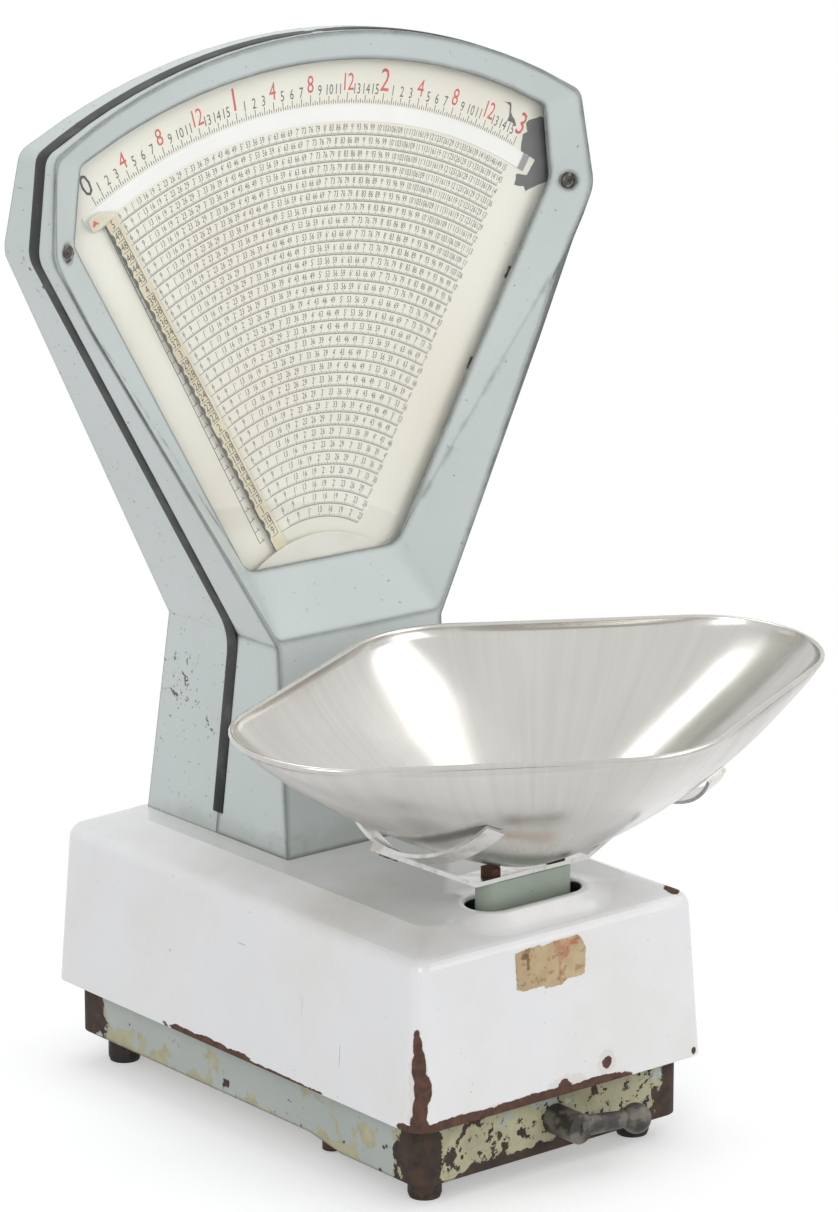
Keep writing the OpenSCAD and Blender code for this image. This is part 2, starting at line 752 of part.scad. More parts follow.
// Cast frame on the base floor that rises into the column and carries the spindle
module head_frame() color("#6f7a74") difference() {
    back = back_plate_y + back_plate_t;
    union() {
        both() block([leg_x - 7, back_plate_y - 8, floor_top], [leg_x + 7, back, crown_z + 25]);
        both() block(
            [leg_x - 12, back_plate_y - 22, floor_top], [leg_x + 12, back_plate_y + 22, floor_top + 7]
        );
        block([-leg_x - 7, back_plate_y, crown_z + 10], [leg_x + 7, back, pillar_z + pillar_edge]);
    }
    bar_y(0, spindle_z, bearing_r, back_plate_y - 1, back_plate_y + back_plate_t + 1);
    both() bar_y(pillar_x, pillar_z, 3, back_plate_y - 1, back_plate_y + back_plate_t + 1);
    at_frame_bolts() cylinder(r = frame_bolt_r + running, h = floor_top + 8);
}

frame_bolt_r = 3;
module at_frame_bolts() {
    for (s = [-1, 1]) both() translate([leg_x, back_plate_y + s * 15, 0]) children();
}

module frame_bolts() color(steel) at_frame_bolts() {
    translate([0, 0, floor_top + 7]) cylinder(r = 5.5, h = 4, $fn = 6);
    translate([0, 0, floor_z]) cylinder(r = frame_bolt_r, h = floor_t + 8);
}

// Plate in front of the pendulum that carries the spindle's front bearing
bearing_r = 9;
pillar_x = 30;
pillar_z = spindle_z + 36;
pillar_edge = 8;
module spindle_bridge() color("#7c8680") difference() {
    low = spindle_z - bearing_r - 7;
    high = pillar_z + pillar_edge;
    slab(bridge_y, bridge_y + bridge_t)
        translate([0, (low + high) / 2]) round_rect(2 * pillar_x + 20, high - low, 10);
    bar_y(0, spindle_z, bearing_r, bridge_y - 1, bridge_y + bridge_t + 1);
    both() bar_y(pillar_x, pillar_z, 3, bridge_y - 1, bridge_y + bridge_t + 1);
}

module bridge_pillars() color(steel) both() {
    bar_y(pillar_x, pillar_z, 6, bridge_y + bridge_t, back_plate_y);
    bar_y(pillar_x, pillar_z, 2.95, bridge_y, back_plate_y + back_plate_t);
}

module spindle_bearings() color(brass) for (y = [bridge_y, back_plate_y]) difference() {
    bar_y(0, spindle_z, bearing_r - 0.02, y, y + 6);
    bar_y(0, spindle_z, spindle_r + running, y - 1, y + 7);
}

// A knife edge along X with its edge at [y, z], opening upwards or downwards
module knife(x0, x1, y, z, up) {
    web(x0, x1) polygon([[y, z], [y - knife_half, z - up * knife_h], [y + knife_half, z - up * knife_h]]);
}

knife_in = 38;
knife_out = knife_x + 6;
nose_reach = crank_r + 7;
dashpot_pin_r = 2.5;

// Pillars on the base floor under the fulcrum's bearings
module fulcrum_stands() color("#6f7a74") both() {
    block([knife_x - 9, fulcrum_y - 9, floor_top], [knife_x + 9, fulcrum_y + 9, floor_top + 5]);
    block(
        [knife_x - 5.5, fulcrum_y - 6, floor_top],
        [knife_x + 5.5, fulcrum_y + 6, fulcrum_z - rest_gap - vee_h]
    );
}

// Hardened blocks with a wide V that the knife edges rest in
vee_h = 8;
module vee_block(y, apex, up) {
    web(knife_x - 6, knife_x + 6) polygon([
        [y - 7, apex - up * vee_h], [y + 7, apex - up * vee_h],
        [y + 7, apex + up * 3.5], [y + 6, apex + up * 3.5],
        [y, apex], [y - 6, apex + up * 3.5], [y - 7, apex + up * 3.5]
    ]);
}

module fulcrum_bearings() color(steel) both() vee_block(fulcrum_y, fulcrum_z - rest_gap, 1);

module load_bearings() color(steel) both() {
    vee_block(load_y, apex_z + rest_gap, -1);
    block([knife_x - 6, load_y - 7, apex_z + rest_gap + vee_h], [knife_x + 6, load_y + 7, spider_z]);
}

// The lever at rest is raised by lever_rest about the fulcrum
module at_lever_rest() {
    translate([0, fulcrum_y, fulcrum_z]) rotate([lever_rest, 0, 0])
        translate([0, -fulcrum_y, -fulcrum_z]) children();
}

cheek_half = 8;
module main_lever() color("#59605c") at_lever_rest() difference() {
    union() {
        both() block(
            [knife_in + 4, fulcrum_y - 9, fulcrum_z - cheek_half],
            [knife_in + 13, load_y + 28, fulcrum_z + cheek_half]
        );
        block(
            [-knife_in - 13, load_y + 16, fulcrum_z - cheek_half],
            [knife_in + 13, load_y + 28, fulcrum_z + cheek_half]
        );
        web(beam_x - beam_w / 2, beam_x + beam_w / 2) polygon([
            [load_y + 20, fulcrum_z - cheek_half], [nose_y + 9, fulcrum_z - 4],
            [nose_y + 9, fulcrum_z + knife_h + 2], [load_y + 20, fulcrum_z + cheek_half]
        ]);
    }
    both() knife(knife_in - 1, knife_out, fulcrum_y, fulcrum_z, -1);
    both() knife(knife_in - 1, knife_out, load_y, fulcrum_z, 1);
    knife(0, nose_reach, nose_y, fulcrum_z, -1);
    bar_x(dashpot_y, fulcrum_z, dashpot_pin_r, 0, 40);
}

module fulcrum_knives() color("#8f9498") at_lever_rest()
    both() knife(knife_in, knife_out, fulcrum_y, fulcrum_z, -1);

module load_knives() color("#8f9498") at_lever_rest()
    both() knife(knife_in, knife_out, load_y, fulcrum_z, 1);

module nose_knife() color("#8f9498") at_lever_rest()
    knife(beam_x - beam_w / 2, nose_reach, nose_y, fulcrum_z, -1);

module dashpot_pin() color("#8f9498") at_lever_rest()
    bar_x(dashpot_y, fulcrum_z, dashpot_pin_r, dashpot_x - 5, beam_x + beam_w / 2);

// The post comes up through the oval hole and carries the cradle
module platform_post() color("#9db3a2") difference() {
    low = spider_z + spider_t;
    translate([0, post_y, low]) linear_extrude(post_top - low) oval(post_w, post_d);
    translate([0, post_y, post_top - 1.5]) linear_extrude(3) oval(post_w - 6, post_d - 6);
    both() translate([bolt_x, post_y, post_top - 24]) cylinder(r = bolt_r + running, h = 30);
}

// Cast plate under the post, with the leg that the stay holds
module platform_spider() color("#59605c") difference() {
    union() {
        translate([0, 0, spider_z]) linear_extrude(spider_t) {
            translate([0, (post_y + load_y) / 2]) square([70, load_y - post_y + 24], center = true);
            translate([0, load_y]) square([2 * knife_x + 14, 20], center = true);
        }
        block(
            [-stay_x - 7, load_y - 4, stay_leg_z - 13], [-stay_x + 7, load_y + 4, spider_z + eps]
        );
    }
    bar_x(load_y, stay_leg_z, stay_pin_r, -stay_x - 9, -stay_x + 9);
    block([-stay_x - 3.5, load_y - 6, stay_leg_z - 16], [-stay_x + 3.5, load_y + 6, stay_leg_z + 9]);
}

// Pin of the stay in the spider's leg
module spider_pin() color("#8f9498") bar_x(load_y, stay_leg_z, stay_pin_r, -stay_x - 7, -stay_x + 7);

// The frame of one strap: its origin is the middle of the strap's inner face,
// X runs across the strap and Z points away from it, square to the pan's flank
module at_strap() {
    translate([0, pan_y, tip_z]) rotate([pan_tip, 0, 0]) translate([strap_x, 0, -strap_drop])
        rotate([0, -strap_lean, 0]) children();
}

// Formed strip bolted on the post, rising to a strap at each end. In X and Z,
// s runs up its slope and h stands off from the strap's outer face.
strip_t = 3;
strip_seat = 4;
bolt_r = 4;
lean_u = [cos(strap_lean), sin(strap_lean)];
strap_under = [strap_x, tip_z - strap_drop] - strap_t * left(lean_u);
function under(s, h) = strap_under + s * lean_u + h * left(lean_u);
module cradle_strip() color("#c4c3be") difference() {
    edge = strap_w / 2;
    half = [
        meet([0, post_top], [1, 0], under(0, -strip_t), lean_u), under(edge, -strip_t),
        under(edge, strip_seat), under(-edge, strip_seat), under(-edge - strip_seat, 0),
        meet([0, strip_top], [1, 0], under(0, 0), lean_u)
    ];
    slab(post_y - strip_w / 2, post_y + strip_w / 2)
        polygon(concat(half, [for (i = [len(half) - 1 : -1 : 0]) [-half[i][0], half[i][1]]]));
    both() at_strap() bar_x(0, strap_r, strap_r + strap_t, -strap_w, strap_w);
    both() translate([bolt_x, post_y, post_top - 5]) cylinder(r = bolt_r + running, h = 20);
    at_rivets() translate([0, 0, -strip_t - 5]) cylinder(r = rivet_r + running, h = strip_t + 20);
}

// Two rivets side by side through the strip and each strap
rivet_r = 2;
module at_rivets() {
    both() for (s = [-4, 4]) let (p = under(s, 0))
        translate([p[0], post_y, p[1]]) rotate([0, -strap_lean, 0]) children();
}

// Curved straps that the pan rests in
module cradle_straps() color("#cfcecb") difference() {
    both() at_strap() difference() {
        intersection() {
            bar_x(0, strap_r, strap_r + strap_t, -strap_w / 2, strap_w / 2);
            web(-strap_w, strap_w) translate([0, strap_r]) polygon([
                [0, 0], 2 * strap_r * [-sin(strap_half), -cos(strap_half)],
                [0, -4 * strap_r], 2 * strap_r * [sin(strap_half), -cos(strap_half)]
            ]);
        }
        bar_x(0, strap_r, strap_r, -strap_w, strap_w);
    }
    at_rivets() translate([0, 0, -5]) cylinder(r = rivet_r + running, h = 20);
}

module strap_rivets() color("#8a8883") at_rivets() {
    translate([0, 0, -strip_t - 1.2]) cylinder(r = 3.5, h = 1.2);
    translate([0, 0, -strip_t - eps]) cylinder(r = rivet_r, h = strip_t + strap_t + 0.8);
}

module cradle_bolts() color("#4a3328") both() translate([bolt_x, post_y, 0]) {
    translate([0, 0, strip_top]) cylinder(r = 7, h = 4.5, $fn = 6);
    translate([0, 0, post_top - 22]) cylinder(r = bolt_r, h = 26);
}

// The pan's plan at angle a: straight flanks between round sides and round ends
side_c = pan_w / 2 - pan_side_r;
end_c = pan_l / 2 - pan_end_r;
flank = acos((pan_end_r - pan_side_r) / norm([side_c, end_c])) - atan2(end_c, side_c);
flank_n = [sin(flank), cos(flank)];
flank_d = flank_n[1] * side_c + pan_side_r;
side_from = atan2(side_c + pan_side_r * flank_n[1], pan_side_r * flank_n[0]);
end_to = atan2(pan_end_r * flank_n[1], end_c + pan_end_r * flank_n[0]);
function plan_r(a) =
    let (c = abs(cos(a)), s = abs(sin(a)), q = atan2(s, c))
    q < end_to ? end_c * c + sqrt(pow(pan_end_r, 2) - pow(end_c * s, 2))
    : q > side_from ? side_c * s + sqrt(pow(pan_side_r, 2) - pow(side_c * c, 2))
    : flank_d / (flank_n[0] * c + flank_n[1] * s);
function ellipse_r(a) = 1 / norm([cos(a) / (pan_l / 2), sin(a) / (pan_w / 2)]);

// How deep the pan is where its section has shrunk to the share f of the rim:
// a superellipse whose last part, near the bottom, is a parabola
pan_flat = 0.12;
pan_knee = pow(1 - pow(pan_flat, 1.3), 1 / 1.2);
pan_slope = 1.3 / 1.2 * pow(pan_flat, 0.3) * pow(1 - pow(pan_flat, 1.3), 1 / 1.2 - 1);
function pan_fall(f) =
    f > pan_flat ? pow(1 - pow(f, 1.3), 1 / 1.2)
    : pan_knee + pan_slope / (2 * pan_flat) * (pow(pan_flat, 2) - pow(f, 2));

// A level ring of the pan: the plan turns into an ellipse on the way down
pan_sides = 72;
function pan_ring(f, grow, z) =
    let (b = pow(pan_fall(f), 0.7))
    [for (i = [0 : pan_sides - 1])
        let (a = 360 * i / pan_sides)
        let (r = ((1 - b) * plan_r(a) + b * ellipse_r(a)) * f + grow)
        [r * cos(a), r * sin(a), z]];

pan_shares = [0.984, 0.95, 0.885, 0.81, 0.73, 0.64, 0.545, 0.44, 0.33, 0.22, 0.13, 0.06];
module pan() color("#cdccc8")
translate([0, pan_y, tip_z]) rotate([pan_tip, 0, 0]) translate([0, 0, pan_z - tip_z]) {
    m = len(pan_shares);
    deep = pan_depth * pan_fall(0);
    inner_depth = pan_depth - pan_t;
    rings = concat(
        [for (i = [m - 1 : -1 : 0]) pan_ring(pan_shares[i], 0, -pan_depth * pan_fall(pan_shares[i]))],
        [for (a = [-60 : 60 : 180]) pan_ring(1, bead_r * (cos(a) - 1), bead_r * (sin(a) - 1))],
        [for (f = pan_shares) pan_ring(f, -1.7 * pan_t, -inner_depth * pan_fall(f))]
    );
    k = len(rings);
    n = pan_sides;
    points = concat(
        [for (r = rings, p = r) p],
        [[0, 0, -deep], [0, 0, -inner_depth * pan_fall(0)]]
    );
    low = k * n;
    polyhedron(points, concat(
        [for (j = [0 : k - 2], i = [0 : n - 1]) [j * n + i, (j + 1) * n + i, j * n + (i + 1) % n]],
        [for (j = [0 : k - 2], i = [0 : n - 1])
            [j * n + (i + 1) % n, (j + 1) * n + i, (j + 1) * n + (i + 1) % n]],
        [for (i = [0 : n - 1]) [i, (i + 1) % n, low]],
        [for (i = [0 : n - 1]) [(k - 1) * n + (i + 1) % n, (k - 1) * n + i, low + 1]]
    ));
}

// The stay keeps the post upright: a short link parallel to the lever's arm
module stay_bracket() color("#6f7a74") difference() {
    union() {
        block([-stay_x - 9, fulcrum_y - 9, floor_top], [-stay_x + 9, fulcrum_y + 9, floor_top + 4]);
        both_cheeks(stay_z + 7);
    }
    bar_x(fulcrum_y, stay_z, stay_pin_r + running, -stay_x - 12, -stay_x + 12);
}
module both_cheeks(top) {
    for (s = [-1, 1]) translate([-stay_x + s * 6, fulcrum_y, 0])
        block([-2.4, -6, floor_top], [2.4, 6, top]);
}

module stay_link() color("#8f9498") difference() {
    translate([0, fulcrum_y, stay_z]) rotate([lever_rest, 0, 0]) {
        bar_x(0, 0, 6, -stay_x - 3, -stay_x + 3);
        bar_x(load_arm, 0, 7, -stay_x - 3, -stay_x + 3);
        block([-stay_x - 3, 0, -4], [-stay_x + 3, load_arm, 4]);
        bar_x(0, 0, stay_pin_r, -stay_x - 10, -stay_x + 10);
    }
    bar_x(load_y, stay_leg_z, stay_pin_r + open_gap, -stay_x - 9, -stay_x + 9);
}

// Oil dashpot that steadies the lever
module dashpot_cylinder() color(brass) translate([dashpot_x, dashpot_y, floor_top]) difference() {
    union() {
        cylinder(r = dashpot_r, h = dashpot_h);
        cylinder(r = dashpot_r + 6, h = 3);
    }
    translate([0, 0, 3]) cylinder(r = dashpot_r - dashpot_wall, h = dashpot_h);
}

module dashpot_cap() color(brass) translate([dashpot_x, dashpot_y, floor_top + dashpot_h]) difference() {
    union() {
        cylinder(r = dashpot_r, h = 3);
        translate([0, 0, -4]) cylinder(r = dashpot_r - dashpot_wall - 0.05, h = 4 + eps);
    }
    translate([0, 0, -5]) cylinder(r = 4.5, h = 10);
}

plunger_pin_z = fulcrum_z + (dashpot_y - fulcrum_y) * sin(lever_rest);
plunger_drop = 2 * (dashpot_y - fulcrum_y) * sin(lever_rest);
plunger_low = floor_top + 3.8 + plunger_drop;
module dashpot_plunger() color(steel) difference() {
    union() {
        translate([dashpot_x, dashpot_y, plunger_low]) cylinder(r = dashpot_r - dashpot_wall - 1, h = 3);
        translate([dashpot_x, dashpot_y, plunger_low + 2])
            cylinder(r = 2, h = plunger_pin_z - plunger_low - 7);
        bar_x(dashpot_y, plunger_pin_z, 6.5, dashpot_x - 2.5, dashpot_x + 2.5);
    }
    bar_x(dashpot_y, plunger_pin_z, dashpot_pin_r + open_gap, dashpot_x - 5, dashpot_x + 5);
}

// Pendulum: one casting with the crank that the connecting rod pulls
hub_y0 = bridge_y + bridge_t + 0.5;
arm_y0 = 84;
arm_t = 6;
pin_y1 = nose_y + 5;
module pendulum_arm() color("#59605c") difference() {
    union() {
        bar_y(0, spindle_z, 11, hub_y0, arm_y0 + 12);
        block([-6, arm_y0, spindle_z - bob_arm], [6, arm_y0 + arm_t, spindle_z]);
        bar_y(0, spindle_z - bob_arm, bob_r - 3, arm_y0, arm_y0 + arm_t);
        slab(arm_y0 + 6, arm_y0 + 11.5) translate([0, spindle_z]) rotate(dial_half)
            polygon([[0, -7], [crank_r, -6], [crank_r + 5, -3], [crank_r + 5, 3], [crank_r, 6], [0, 7]]);
        bar_y(crank_rest[0], crank_rest[1], crank_pin_r, arm_y0 + 10, pin_y1);
    }
    bar_y(0, spindle_z, spindle_r, arm_y0 - 20, arm_y0 + 30);
    bar_y(0, spindle_z - bob_arm, spigot_r + 0.02, arm_y0 - 5, arm_y0 + 12);
}

spigot_r = 5;
module pendulum_bob() color("#6b6762") union() {
    bar_y(0, spindle_z - bob_arm, bob_r, arm_y0 + arm_t, arm_y0 + bob_t);
    bar_y(0, spindle_z - bob_arm, spigot_r, arm_y0 - 3, arm_y0 + arm_t + 1);
}

module pointer_spindle() color("#8f9498")
    bar_y(0, spindle_z, spindle_r, pointer_front - 0.8, back_plate_y + back_plate_t + 2);

// The pointer's blade, turned to the zero mark
module blade(y0, y1, r0, r1, w) {
    slab(y0, y1) translate([0, spindle_z]) difference() {
        union() {
            rotate(dial_half) translate([-w / 2, 0]) square([w, r1]);
            circle(r0);
        }
        circle(spindle_r);
    }
}

module pointer() color("#e9e4d2") blade(pointer_front, pointer_front + pointer_t, 12, pointer_r, pointer_w);

module rear_pointer() color("#2b2a2a")
    blade(rear_pointer_front, rear_pointer_front + pointer_t, 11, pointer_r, pointer_w / 2);

// The rod hangs on the crank's pin, and its shackle holds the lever's nose
module connecting_rod() color("#8f9498") difference() {
    x = crank_rest[0];
    z0 = nose_rest_z;
    union() {
        bar_y(x, crank_rest[1], 6, nose_y - 2.5, nose_y + 2.5);
        block([x - 2.5, nose_y - 2.5, z0 + 12], [x + 2.5, nose_y + 2.5, crank_rest[1] - 3]);
        block([x - 2.5, nose_y - 11, z0 - 7], [x + 2.5, nose_y + 10, z0 + 19]);
    }
    bar_y(x, crank_rest[1], crank_pin_r + running, nose_y - 4, nose_y + 4);
    web(x - 4, x + 4) polygon([
        [nose_y - 8, z0 + 14], [nose_y - 8, z0 + 2], [nose_y - 5, z0 + 1.5], [nose_y - 0.5, z0 - open_gap],
        [nose_y + 4, z0 + 1.5], [nose_y + 7, z0 + 2], [nose_y + 7, z0 + 14]
    ]);
}

// Bush in the front wall, and the locking shaft with its cam beside the leg
bush_r = 8.5;
cam_y = [load_y - 6, load_y + 6];
cam_offset = 4.5;
cam_r = stay_x - 7 - cam_offset - 0.5;
module lock_bush() color(brass) difference() {
    bar_y(0, lock_z, bush_r - 0.02, front_wall_y, front_wall_y + base_wall + 6);
    bar_y(0, lock_z, lock_r + running, front_wall_y - 1, front_wall_y + base_wall + 7);
}

module lock_shaft() color("#8f9498") union() {
    bar_y(0, lock_z, lock_r, hub_front + 6, cam_y[1] + 2);
    bar_y(0, lock_z + cam_offset, cam_r, cam_y[0], cam_y[1]);
}

module lock_handle() color("#35312e") difference() {
    union() {
        bar_y(0, lock_z, hub_r, hub_front, hub_back);
        translate([0, knob_y + 2, lock_z]) rotate([0, 90 + handle_dip, 0])
            cylinder(r1 = 7.5, r2 = 5.5, h = handle_l);
        translate([handle_l * cos(handle_dip), knob_y, lock_z - handle_l * sin(handle_dip)]) sphere(knob_r);
    }
    bar_y(0, lock_z, lock_r + 0.02, hub_front + 6, hub_back + 1);
}

// The middle of the whole scale, pan included, comes to the origin
pan_front = pan_y - pan_w / 2 * cos(pan_tip) - (pan_z - bead_r - tip_z) * sin(pan_tip);
module placed() {
    translate([0, -(pan_front + cover_d / 2) / 2, 0]) children();
}

placed() base_casting();
placed() feet();
placed() transit_stop();
placed() enamel_cover();
placed() cover_screws();
placed() column_screws();
placed() rear_housing();
placed() front_housing();
placed() housing_seal();
placed() bezel_screws();
placed() cup_washers();
placed() dial_window();
placed() window_clips();
placed() dial_plate();
placed() scale_band();
placed() name_plate();
placed() dial_screws();
placed() rear_dial();
placed() rear_window();
placed() head_frame();
placed() frame_bolts();
placed() spindle_bridge();
placed() bridge_pillars();
placed() spindle_bearings();
placed() fulcrum_stands();
placed() fulcrum_bearings();
placed() stay_bracket();
placed() dashpot_cylinder();
placed() dashpot_cap();
placed() lock_bush();
placed() pan();
placed() platform_post();
placed() cradle_strip();
placed() cradle_straps();
placed() cradle_bolts();
placed() strap_rivets();
placed() platform_spider();
placed() load_bearings();
placed() spider_pin();
placed() main_lever();
placed() fulcrum_knives();
placed() load_knives();
placed() nose_knife();
placed() dashpot_pin();
placed() stay_link();
placed() dashpot_plunger();
placed() pendulum_arm();
placed() pendulum_bob();
placed() pointer_spindle();
placed() pointer();
placed() rear_pointer();
placed() connecting_rod();
placed() lock_shaft();
placed() lock_handle();
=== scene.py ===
import math
import random

import bmesh
import bpy
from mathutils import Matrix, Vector
from mathutils.bvhtree import BVHTree


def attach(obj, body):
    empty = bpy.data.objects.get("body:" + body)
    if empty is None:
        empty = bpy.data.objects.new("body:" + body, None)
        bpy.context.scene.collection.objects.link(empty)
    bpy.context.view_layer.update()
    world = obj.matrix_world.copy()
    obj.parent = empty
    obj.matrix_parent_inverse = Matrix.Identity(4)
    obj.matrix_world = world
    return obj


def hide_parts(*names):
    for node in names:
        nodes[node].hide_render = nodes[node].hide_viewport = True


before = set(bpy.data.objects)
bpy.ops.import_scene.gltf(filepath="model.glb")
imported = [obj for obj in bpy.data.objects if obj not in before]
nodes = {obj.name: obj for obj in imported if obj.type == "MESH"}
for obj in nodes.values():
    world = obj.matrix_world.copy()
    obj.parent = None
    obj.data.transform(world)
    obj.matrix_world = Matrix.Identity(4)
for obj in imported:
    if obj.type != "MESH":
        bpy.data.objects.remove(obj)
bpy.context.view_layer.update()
mm = 0.001

# Camera: level with the head of someone standing to the left of the counter,
# far enough away that the upright edges stay parallel.
eye = Vector((-2.0449, -2.506, 1.2277))
aim = Vector((0.0248, 0.037, 0.353))
lens = bpy.data.cameras.new("camera")
lens.sensor_fit = "VERTICAL"
lens.sensor_height = 36.0
lens.lens = 148.2
camera = bpy.data.objects.new("camera", lens)
camera.location = eye
camera.rotation_euler = (aim - eye).to_track_quat("-Z", "Y").to_euler()
bpy.context.scene.collection.objects.link(camera)
bpy.context.scene.camera = camera
bpy.context.scene.view_settings.view_transform = "Standard"


# Studio: a pale floor that runs into a white background, a broad lamp above and
# to the left of the camera, and weaker ones from the right and from behind.
def add(tree, kind, inputs=None, **settings):
    """A node with its settings made, each input linked to a socket or set to a value"""
    node = tree.nodes.new(kind)
    for key, value in settings.items():
        setattr(node, key, value)
    for key, value in (inputs or {}).items():
        if isinstance(value, bpy.types.NodeSocket):
            tree.links.new(value, node.inputs[key])
        else:
            node.inputs[key].default_value = value
    return node


def calc(tree, operation, *values, clamp=False):
    """One step of arithmetic on sockets or numbers"""
    node = add(tree, "ShaderNodeMath", dict(enumerate(values)), operation=operation, use_clamp=clamp)
    return node.outputs[0]


def seen_plainly(tree):
    """1 where the camera sees this, by itself or in metal or glass"""
    rays = add(tree, "ShaderNodeLightPath").outputs
    both = calc(tree, "MAXIMUM", rays["Is Camera Ray"], rays["Is Glossy Ray"])
    return calc(tree, "MAXIMUM", both, rays["Is Transmission Ray"])


world = bpy.data.worlds.new("studio")
world.use_nodes = True
sky = world.node_tree
sky.nodes.clear()
soft = add(sky, "ShaderNodeBackground", {"Color": (0.97, 0.98, 1.0, 1.0), "Strength": 0.66})
plain = add(sky, "ShaderNodeBackground", {"Color": (1.0, 1.0, 1.0, 1.0), "Strength": 1.0})
sky_mix = add(sky, "ShaderNodeMixShader", {0: seen_plainly(sky), 1: soft.outputs[0], 2: plain.outputs[0]})
add(sky, "ShaderNodeOutputWorld", {"Surface": sky_mix.outputs[0]})
bpy.context.scene.world = world

floor_mesh = bpy.data.meshes.new("floor")
floor_half = 6.0
floor_mesh.from_pydata([(x * floor_half, y * floor_half, 0) for x, y in ((-1, -1), (1, -1), (1, 1), (-1, 1))],
                       [], [(0, 1, 2, 3)])
floor = bpy.data.objects.new("floor", floor_mesh)
bpy.context.scene.collection.objects.link(floor)
floor_finish = bpy.data.materials.new("floor")
floor_finish.use_nodes = True
tree = floor_finish.node_tree
tree.nodes.clear()
matt = add(tree, "ShaderNodeBsdfDiffuse", {"Color": (0.8, 0.8, 0.8, 1.0)})
lift = add(tree, "ShaderNodeEmission", {"Color": (1.0, 1.0, 1.0, 1.0), "Strength": 0.34})
lifted = add(tree, "ShaderNodeAddShader", {0: matt.outputs[0], 1: lift.outputs[0]})
far_white = add(tree, "ShaderNodeEmission", {"Color": (1.0, 1.0, 1.0, 1.0), "Strength": 1.0})
floor_place = add(tree, "ShaderNodeTexCoord").outputs["Object"]
away = add(tree, "ShaderNodeVectorMath", {0: floor_place}, operation="LENGTH")
fade_from, fade_to = 0.3, 0.62
fade = add(tree, "ShaderNodeMapRange", {0: away.outputs["Value"], 1: fade_from, 2: fade_to},
           interpolation_type="SMOOTHSTEP")
faded = add(tree, "ShaderNodeMixShader", {0: fade.outputs[0], 1: lifted.outputs[0], 2: far_white.outputs[0]})
shown = add(tree, "ShaderNodeMixShader", {0: seen_plainly(tree), 1: matt.outputs[0], 2: faded.outputs[0]})
add(tree, "ShaderNodeOutputMaterial", {"Surface": shown.outputs[0]})
floor_mesh.materials.append(floor_finish)

for name, place, size, power in (
    ("key_lamp", (-2.6, -1.8, 1.7), 1.5, 28.0),
    ("fill_lamp", (1.6, -2.8, 1.3), 1.5, 15.0),
    ("top_lamp", (0.0, 1.0, 3.0), 1.5, 15.0),
    ("side_lamp", (2.2, -1.4, 2.4), 1.8, 17.0),
):
    lamp = bpy.data.lights.new(name, "AREA")
    lamp.size = size
    lamp.energy = power
    stand_in = bpy.data.objects.new(name, lamp)
    stand_in.location = place
    stand_in.rotation_euler = (Vector((0, 0, 0.35)) - Vector(place)).to_track_quat("-Z", "Y").to_euler()
    bpy.context.scene.collection.objects.link(stand_in)


# Base casting: cast iron, deeper at the front, painted sage green. The paint has
# yellowed and flaked, and the iron shows brown at the corners and lower edges.
def tint(red, green, blue):
    """A screen colour of 0 to 255 a channel, as the linear colour a shader takes"""
    linear = [c / 255 / 12.92 if c < 10.3 else ((c / 255 + 0.055) / 1.055) ** 2.4 for c in (red, green, blue)]
    return (*linear, 1.0)


def new_group(name, ins, outs):
    """A shader node group with these inputs, as (name, kind, value), and outputs"""
    group = bpy.data.node_groups.new(name, "ShaderNodeTree")
    for title, kind, value in ins:
        socket = group.interface.new_socket(title, in_out="INPUT", socket_type="NodeSocket" + kind)
        if value is not None:
            socket.default_value = value
    for title, kind in outs:
        group.interface.new_socket(title, in_out="OUTPUT", socket_type="NodeSocket" + kind)
    source = group.nodes.new("NodeGroupInput").outputs
    sink = group.nodes.new("NodeGroupOutput").inputs
    return group, source, sink


# Patches of flaked or stained surface: noise cut off at a level
patches, source, sink = new_group(
    "flaked patches",
    [("Place", "Vector", None), ("Grain", "Float", 30.0), ("Level", "Float", 0.6), ("Edge", "Float", 0.02)],
    [("Mask", "Float")],
)
noise = add(patches, "ShaderNodeTexNoise", {
    "Vector": source["Place"], "Scale": source["Grain"], "Detail": 7.0, "Roughness": 0.62})
low = calc(patches, "SUBTRACT", source["Level"], source["Edge"])
high = calc(patches, "ADD", source["Level"], source["Edge"])
cut = add(patches, "ShaderNodeMapRange", {0: noise.outputs[0], 1: low, 2: high},
          interpolation_type="SMOOTHSTEP")
patches.links.new(cut.outputs[0], sink["Mask"])

# One ragged spot about a centre, with its own reach along each axis
spot, source, sink = new_group(
    "ragged spot",
    [("Place", "Vector", None), ("Centre", "Vector", (0, 0, 0)), ("Size", "Vector", (1, 1, 1)),
     ("Ragged", "Float", 0.5), ("Grain", "Float", 60.0), ("Soft", "Float", 0.04)],
    [("Mask", "Float")],
)
offset = add(spot, "ShaderNodeVectorMath", {0: source["Place"], 1: source["Centre"]}, operation="SUBTRACT")
scaled = add(spot, "ShaderNodeVectorMath", {0: offset.outputs[0], 1: source["Size"]}, operation="DIVIDE")
reach = add(spot, "ShaderNodeVectorMath", {0: scaled.outputs[0]}, operation="LENGTH").outputs["Value"]
noise = add(spot, "ShaderNodeTexNoise", {
    "Vector": source["Place"], "Scale": source["Grain"], "Detail": 6.0, "Roughness": 0.65})
from_mean = calc(spot, "SUBTRACT", noise.outputs[0], 0.5)
swing = calc(spot, "MULTIPLY", from_mean, calc(spot, "MULTIPLY", source["Ragged"], 4.0))
near = calc(spot, "SUBTRACT", 1.0, source["Soft"])
far = calc(spot, "ADD", 1.0, source["Soft"])
cut = add(spot, "ShaderNodeMapRange", {0: calc(spot, "ADD", reach, swing), 1: near, 2: far, 3: 1.0, 4: 0.0},
          interpolation_type="SMOOTHSTEP")
spot.links.new(cut.outputs[0], sink["Mask"])

